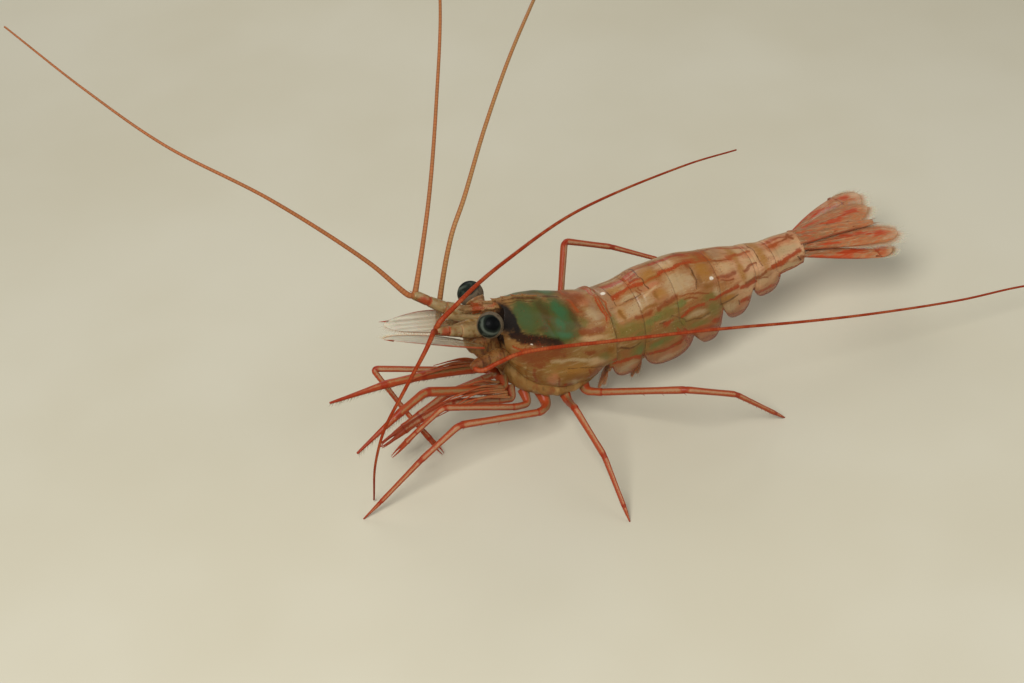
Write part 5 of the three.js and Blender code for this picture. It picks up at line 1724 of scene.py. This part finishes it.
# %% Fan finish
fan = Finish("fan", Roughness=0.38, Specular_IOR_Level=0.15, Coat_Weight=0.08, Coat_Roughness=0.15,
             Subsurface_Weight=0.2, Subsurface_Radius=(1.0, 0.4, 0.25), Subsurface_Scale=0.25 * MM)
flame = fan.cloud(0.6, (3, 1, 1), detail=4.0) - 0.5
thread = fan.cloud(0.2, (9, 1, 1), seed=3, detail=3.0)
out, rib = fan.mark("out"), fan.mark("rib")
fan_red = (fan.mark("blush") + flame * 1.4 + (thread - 0.5) * 1.2).above(0.18, 0.85)
fan_edge = (fan.mark("margin") + flame * 0.12).above(0.14, 0.05) * out.above(0.85, 0.6)
fan_tip = (out + flame * 0.3).above(0.86, 1.0)
fan.colour = "#a3754c"
fan.coat("#c08152", (out + flame * 0.8).above(0.1, 0.55))
fan.coat("#ad5026", thread.above(0.5, 0.62) * 0.6)
fan.coat("#d8ae84", thread.above(0.46, 0.34) * 0.75)
fan.coat("#86381a", (rib + flame * 0.5).above(0.4, 0.9) * 0.8)
fan.coat("#b43c18", fan_red * 0.88)
fan.coat("#8c3c1a", fan_edge * 0.75)
fan.coat("#d2a070", fan_tip * 0.75)
fan.relief(rib + flame * 0.4, 0.04)
fan_cover = rib * 0.4 + fan_red * 0.5 + flame * 0.6 + thread.above(0.4, 0.6) * 0.4 - fan_tip * 0.5
fan.paint(Alpha=fan_cover.above(-0.2, 0.6) * 0.45 + 0.5)
print("finish", fan.material.name)

# %% Middle plate
FAN_ROOT = (37.75, 0.0, 11.55)
PLATE_LENGTH = 11.6
# Two pairs of small spines on the plate, by their share of its length and of its half width.
PLATE_SPINES = ((0.45, 0.75), (0.70, 0.72))


def plate_half(t):
    """Half width of the middle plate, which narrows to a rounded tip."""
    return (1.5 - 0.98 * t ** 1.15) * tip_round(t, 0.965)


def plate_shape(t, y):
    """Height of the middle plate: arched across, and a little along."""
    return -0.12 * y * y + 0.1 * np.sin(np.pi * t)


def plate_thick(t, across):
    """Thickness of the middle plate: less at the tip, and less along its groove."""
    return mixed(0.8, 0.35, t) * (1 - 0.35 * bell(across, 0, 0.25))


place = turned((FAN_ROOT[0] - 0.5, 0, FAN_ROOT[2] + 0.5), 0, 11.5, 0)
rings, t, across, y = leaf_rings(place, PLATE_LENGTH, plate_half, plate_half, plate_thick, plate_shape)
plate = Clay()
plate.skin(rings, out=t * 0.9, rib=0.7 * bell(np.abs(across), 0.45, 0.12), blush=0.5 * bell(t, 0.12, 0.1),
           margin=plate_half(t) * (1 - np.abs(across)))
for share, wide in PLATE_SPINES:
    for hand in (1, -1):
        x, y = PLATE_LENGTH * share, hand * wide * plate_half(share)
        spine(plate, place, (x, y, 0.25), (x + 1, y, 0.45), 0.5, 0.07, out=1.0)
for hand in (1, -1):
    spine(plate, place, (11.4, hand * 0.36, 0.0), (12.4, hand * 0.5, 0.0), 1.1, 0.08, out=1.0)
plate.piece("fan_middle", fan.material, "fan_shell", ["telson"])
fringe(fringes, place, PLATE_LENGTH, plate_half, plate_half, plate_shape,
       [(1, 0.9, 1.0, 26), (-1, 0.9, 1.0, 26)], 1.3, 0.024, 80, 0.35)

# %% Sizes of the blades
# Turn outwards and dip in degrees, length, height over the root, how far out, where it swells, and width.
BLADES = {
    "uropod_inner_left": (5, 8.5, 12.7, -0.45, 1.25, 1.0, 2.0),
    "uropod_inner_right": (10, 8.5, 12.8, -0.5, 1.25, 1.0, 2.0),
    "uropod_outer_left": (13, 8, 11.2, -1.3, 1.5, 1.2, 2.3),
    "uropod_outer_right": (20, 5, 14.4, -1.5, 1.7, 1.2, 2.55),
}
# Where red gathers on an outer blade (True) or an inner one: along, across, and its size both ways.
BLUSHES = {
    True: ((0.5, 0.45, 0.12, 0.3), (0.66, 0.1, 0.08, 0.35), (0.88, 0.3, 0.07, 0.4), (0.3, 0.9, 0.25, 0.15)),
    False: ((0.82, 0.1, 0.12, 0.35), (0.55, -0.2, 0.16, 0.22), (0.3, 0.5, 0.15, 0.2)),
}
# How far each blade starts inside the last ring.
TUCK = 1.1
# How far the bristles of each layer of the fringe reach, and how much they lean.
FRINGE_LAYERS = ((1.5, 0.0), (1.9, 0.3))
SUTURE = 0.77
print("blades", len(BLADES))


# %% Blades
def blade_marks(t, across, hand, outer):
    """The ribs, the seam across an outer blade and the blushes, as bells along and across it."""
    rib = bell(across, 0, 0.07) + 0.8 * bell(across * hand, 0.55 if outer else 0.3, 0.06)
    rib = rib + 0.45 * bell(across * hand, -0.5, 0.05)
    seam = bell(t, 0.78 + 0.05 * across * hand, 0.01) if outer else 0.0
    blush = sum(bell(t, a, c) * bell(across * hand, b, d) for a, b, c, d in BLUSHES[outer])
    return np.clip(rib * rise(1.0, 0.75, t) + seam, 0, 1), np.clip(blush, 0, 1)


for number, (name, (yaw, dip, length, drop, aside, rounds, spread)) in enumerate(BLADES.items()):
    hand = SIDES[side_of(name)]
    outer = "outer" in name
    root = turned((FAN_ROOT[0] + 0.2, hand * aside, FAN_ROOT[2]), hand * yaw, dip, 0)([-TUCK, 0, 0])
    place = turned(root, hand * yaw, dip, 0)
    length = length + TUCK
    soft = lambda t: spread * (0.2 + 0.85 * np.sin(np.pi * 0.93 * t ** rounds) ** 0.8) * tip_round(t, 0.8)
    stiff = lambda t: spread * (0.2 + 0.65 * np.sin(np.pi / 2 * np.clip(t / 0.75, 0, 1))) * tip_round(t, 0.8)
    left, right_half = (soft, stiff) if hand > 0 else (stiff, soft)
    bow = 0.14 if outer else 0.08
    shape = lambda t, y: drop - 0.07 * y * y + bow * np.sin(np.pi * t)
    thick = lambda t, across: mixed(0.5, 0.16, t) + 0.12 * bell(across, 0, 0.15) * (1 - t)
    rings, t, across, y = leaf_rings(place, length, left, right_half, thick, shape)
    rib, blush = blade_marks(t, across, hand, outer)
    blade = Clay()
    blade.skin(rings, out=t, rib=rib, blush=blush,
               margin=np.where(y > 0, right_half(t), left(t)) * (1 - np.abs(across)))
    if outer:
        x, wide = length * SUTURE, hand * stiff(SUTURE)
        spine(blade, place, (x, 0.93 * wide, drop), (x + 1, 0.97 * wide, drop), 0.8, 0.13, out=0.9)
    blade.piece(f"fan_{name}", fan.material, "fan_shell", [name])
    start = 0.78 if outer else 0.35
    for layer, (reach, lean) in enumerate(FRINGE_LAYERS):
        fringe(fringes, place, length, left, right_half, shape,
               [(hand, start, 1.0, 170), (-hand, 0.3, 1.0, 260)], reach, 0.026, 90 + 10 * layer + number,
               0.42 + 0.05 * number + 0.02 * layer, lean)

# %% [markdown]
# ## Swimming legs
# Under five of the tail rings hang pairs of paddles. Each has a flat stem and two fringed leaf blades that
# point back and down. They are small and half hidden, so one loop makes all ten from where they hang and how
# far they reach, with the tube and the leaf that are already there.

# %% Swimming legs
SWIMMERET_X = (12.2, 16.9, 22.4, 27.4, 31.2)
SWIMMERET_REACH = (3.4, 3.9, 3.8, 3.0, 2.3)
# For each of the two blades: turn outwards and tilt in degrees, and length as a share of the reach.
PADDLE_BLADES = ((12, 62, 0.62), (-14, 74, 0.5))


def paddle_half(t):
    """Half width of a paddle's blade: half an ellipse, a little slimmer to the tip."""
    return 0.5 * np.sqrt(np.clip(1 - (2 * t - 1) ** 2, 0.01, 1)) * (1 - 0.2 * t) + 0.03


def paddle_shape(t, y):
    """Height of a paddle's blade: bowed along, flat across."""
    return 0.1 * np.sin(np.pi * t) + 0 * y


def paddle_thick(t, across):
    """Thickness of a paddle's blade, the same all over."""
    return 0.2 + 0 * t


for index, (x, reach) in enumerate(zip(SWIMMERET_X, SWIMMERET_REACH)):
    for side, hand in SIDES.items():
        y = hand * min(1.7, tail_half(x) * 0.45)
        top = belly(x) - 0.1
        route = [(x - 0.2 * step * reach, y, top - 0.3 * step * reach) for step in range(3)]
        radius = np.interp(np.linspace(0, 1, 25), (0, 0.5, 1), (0.6, 0.68, 0.55))
        stem = tube(feeler_line(route, 24), radius, 16, (0, 1, 0), flat=0.55)
        paddle = Clay()
        paddle.skin(stem, out=0.3, rib=0.2, margin=0.5)
        for blade, (yaw, tilt, share) in enumerate(PADDLE_BLADES):
            length = reach * share + 0.6
            end = np.array(route[-1]) + [0, hand * (0.25 - 0.4 * blade), 0.1]
            place = turned(end, 180 + hand * yaw, tilt, 0)
            rings, t, across, _ = leaf_rings(place, length, paddle_half, paddle_half, paddle_thick,
                                             paddle_shape, 26, 20)
            paddle.skin(rings, out=0.3 + 0.5 * t, rib=bell(across, 0, 0.2), margin=0.4)
            fringe(fringes, place, length, paddle_half, paddle_half, paddle_shape,
                   [(1, 0.2, 1.0, 26), (-1, 0.2, 1.0, 26)], 0.7, 0.02, 120 + index * 4 + blade,
                   0.65 + 0.03 * index)
        name = f"{index + 1}_{side}"
        paddle.piece(f"paddle_{name}", fan.material, "fan_shell", [f"swimmeret_{name}"])

# %% [markdown]
# ## Fringes
# The bristles of the scales, the fan and the paddles, and those of the mouth legs, were gathered on the way.
# They could be joined to their blades, but they have a finish and a map of their own, so they become two
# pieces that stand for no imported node.

# %% Fringes and combs
fringes.piece("fringe_bristles", hair.material, "fan_shell")
combs.piece("mouth_leg_bristles", hair.material, "limb_shell")
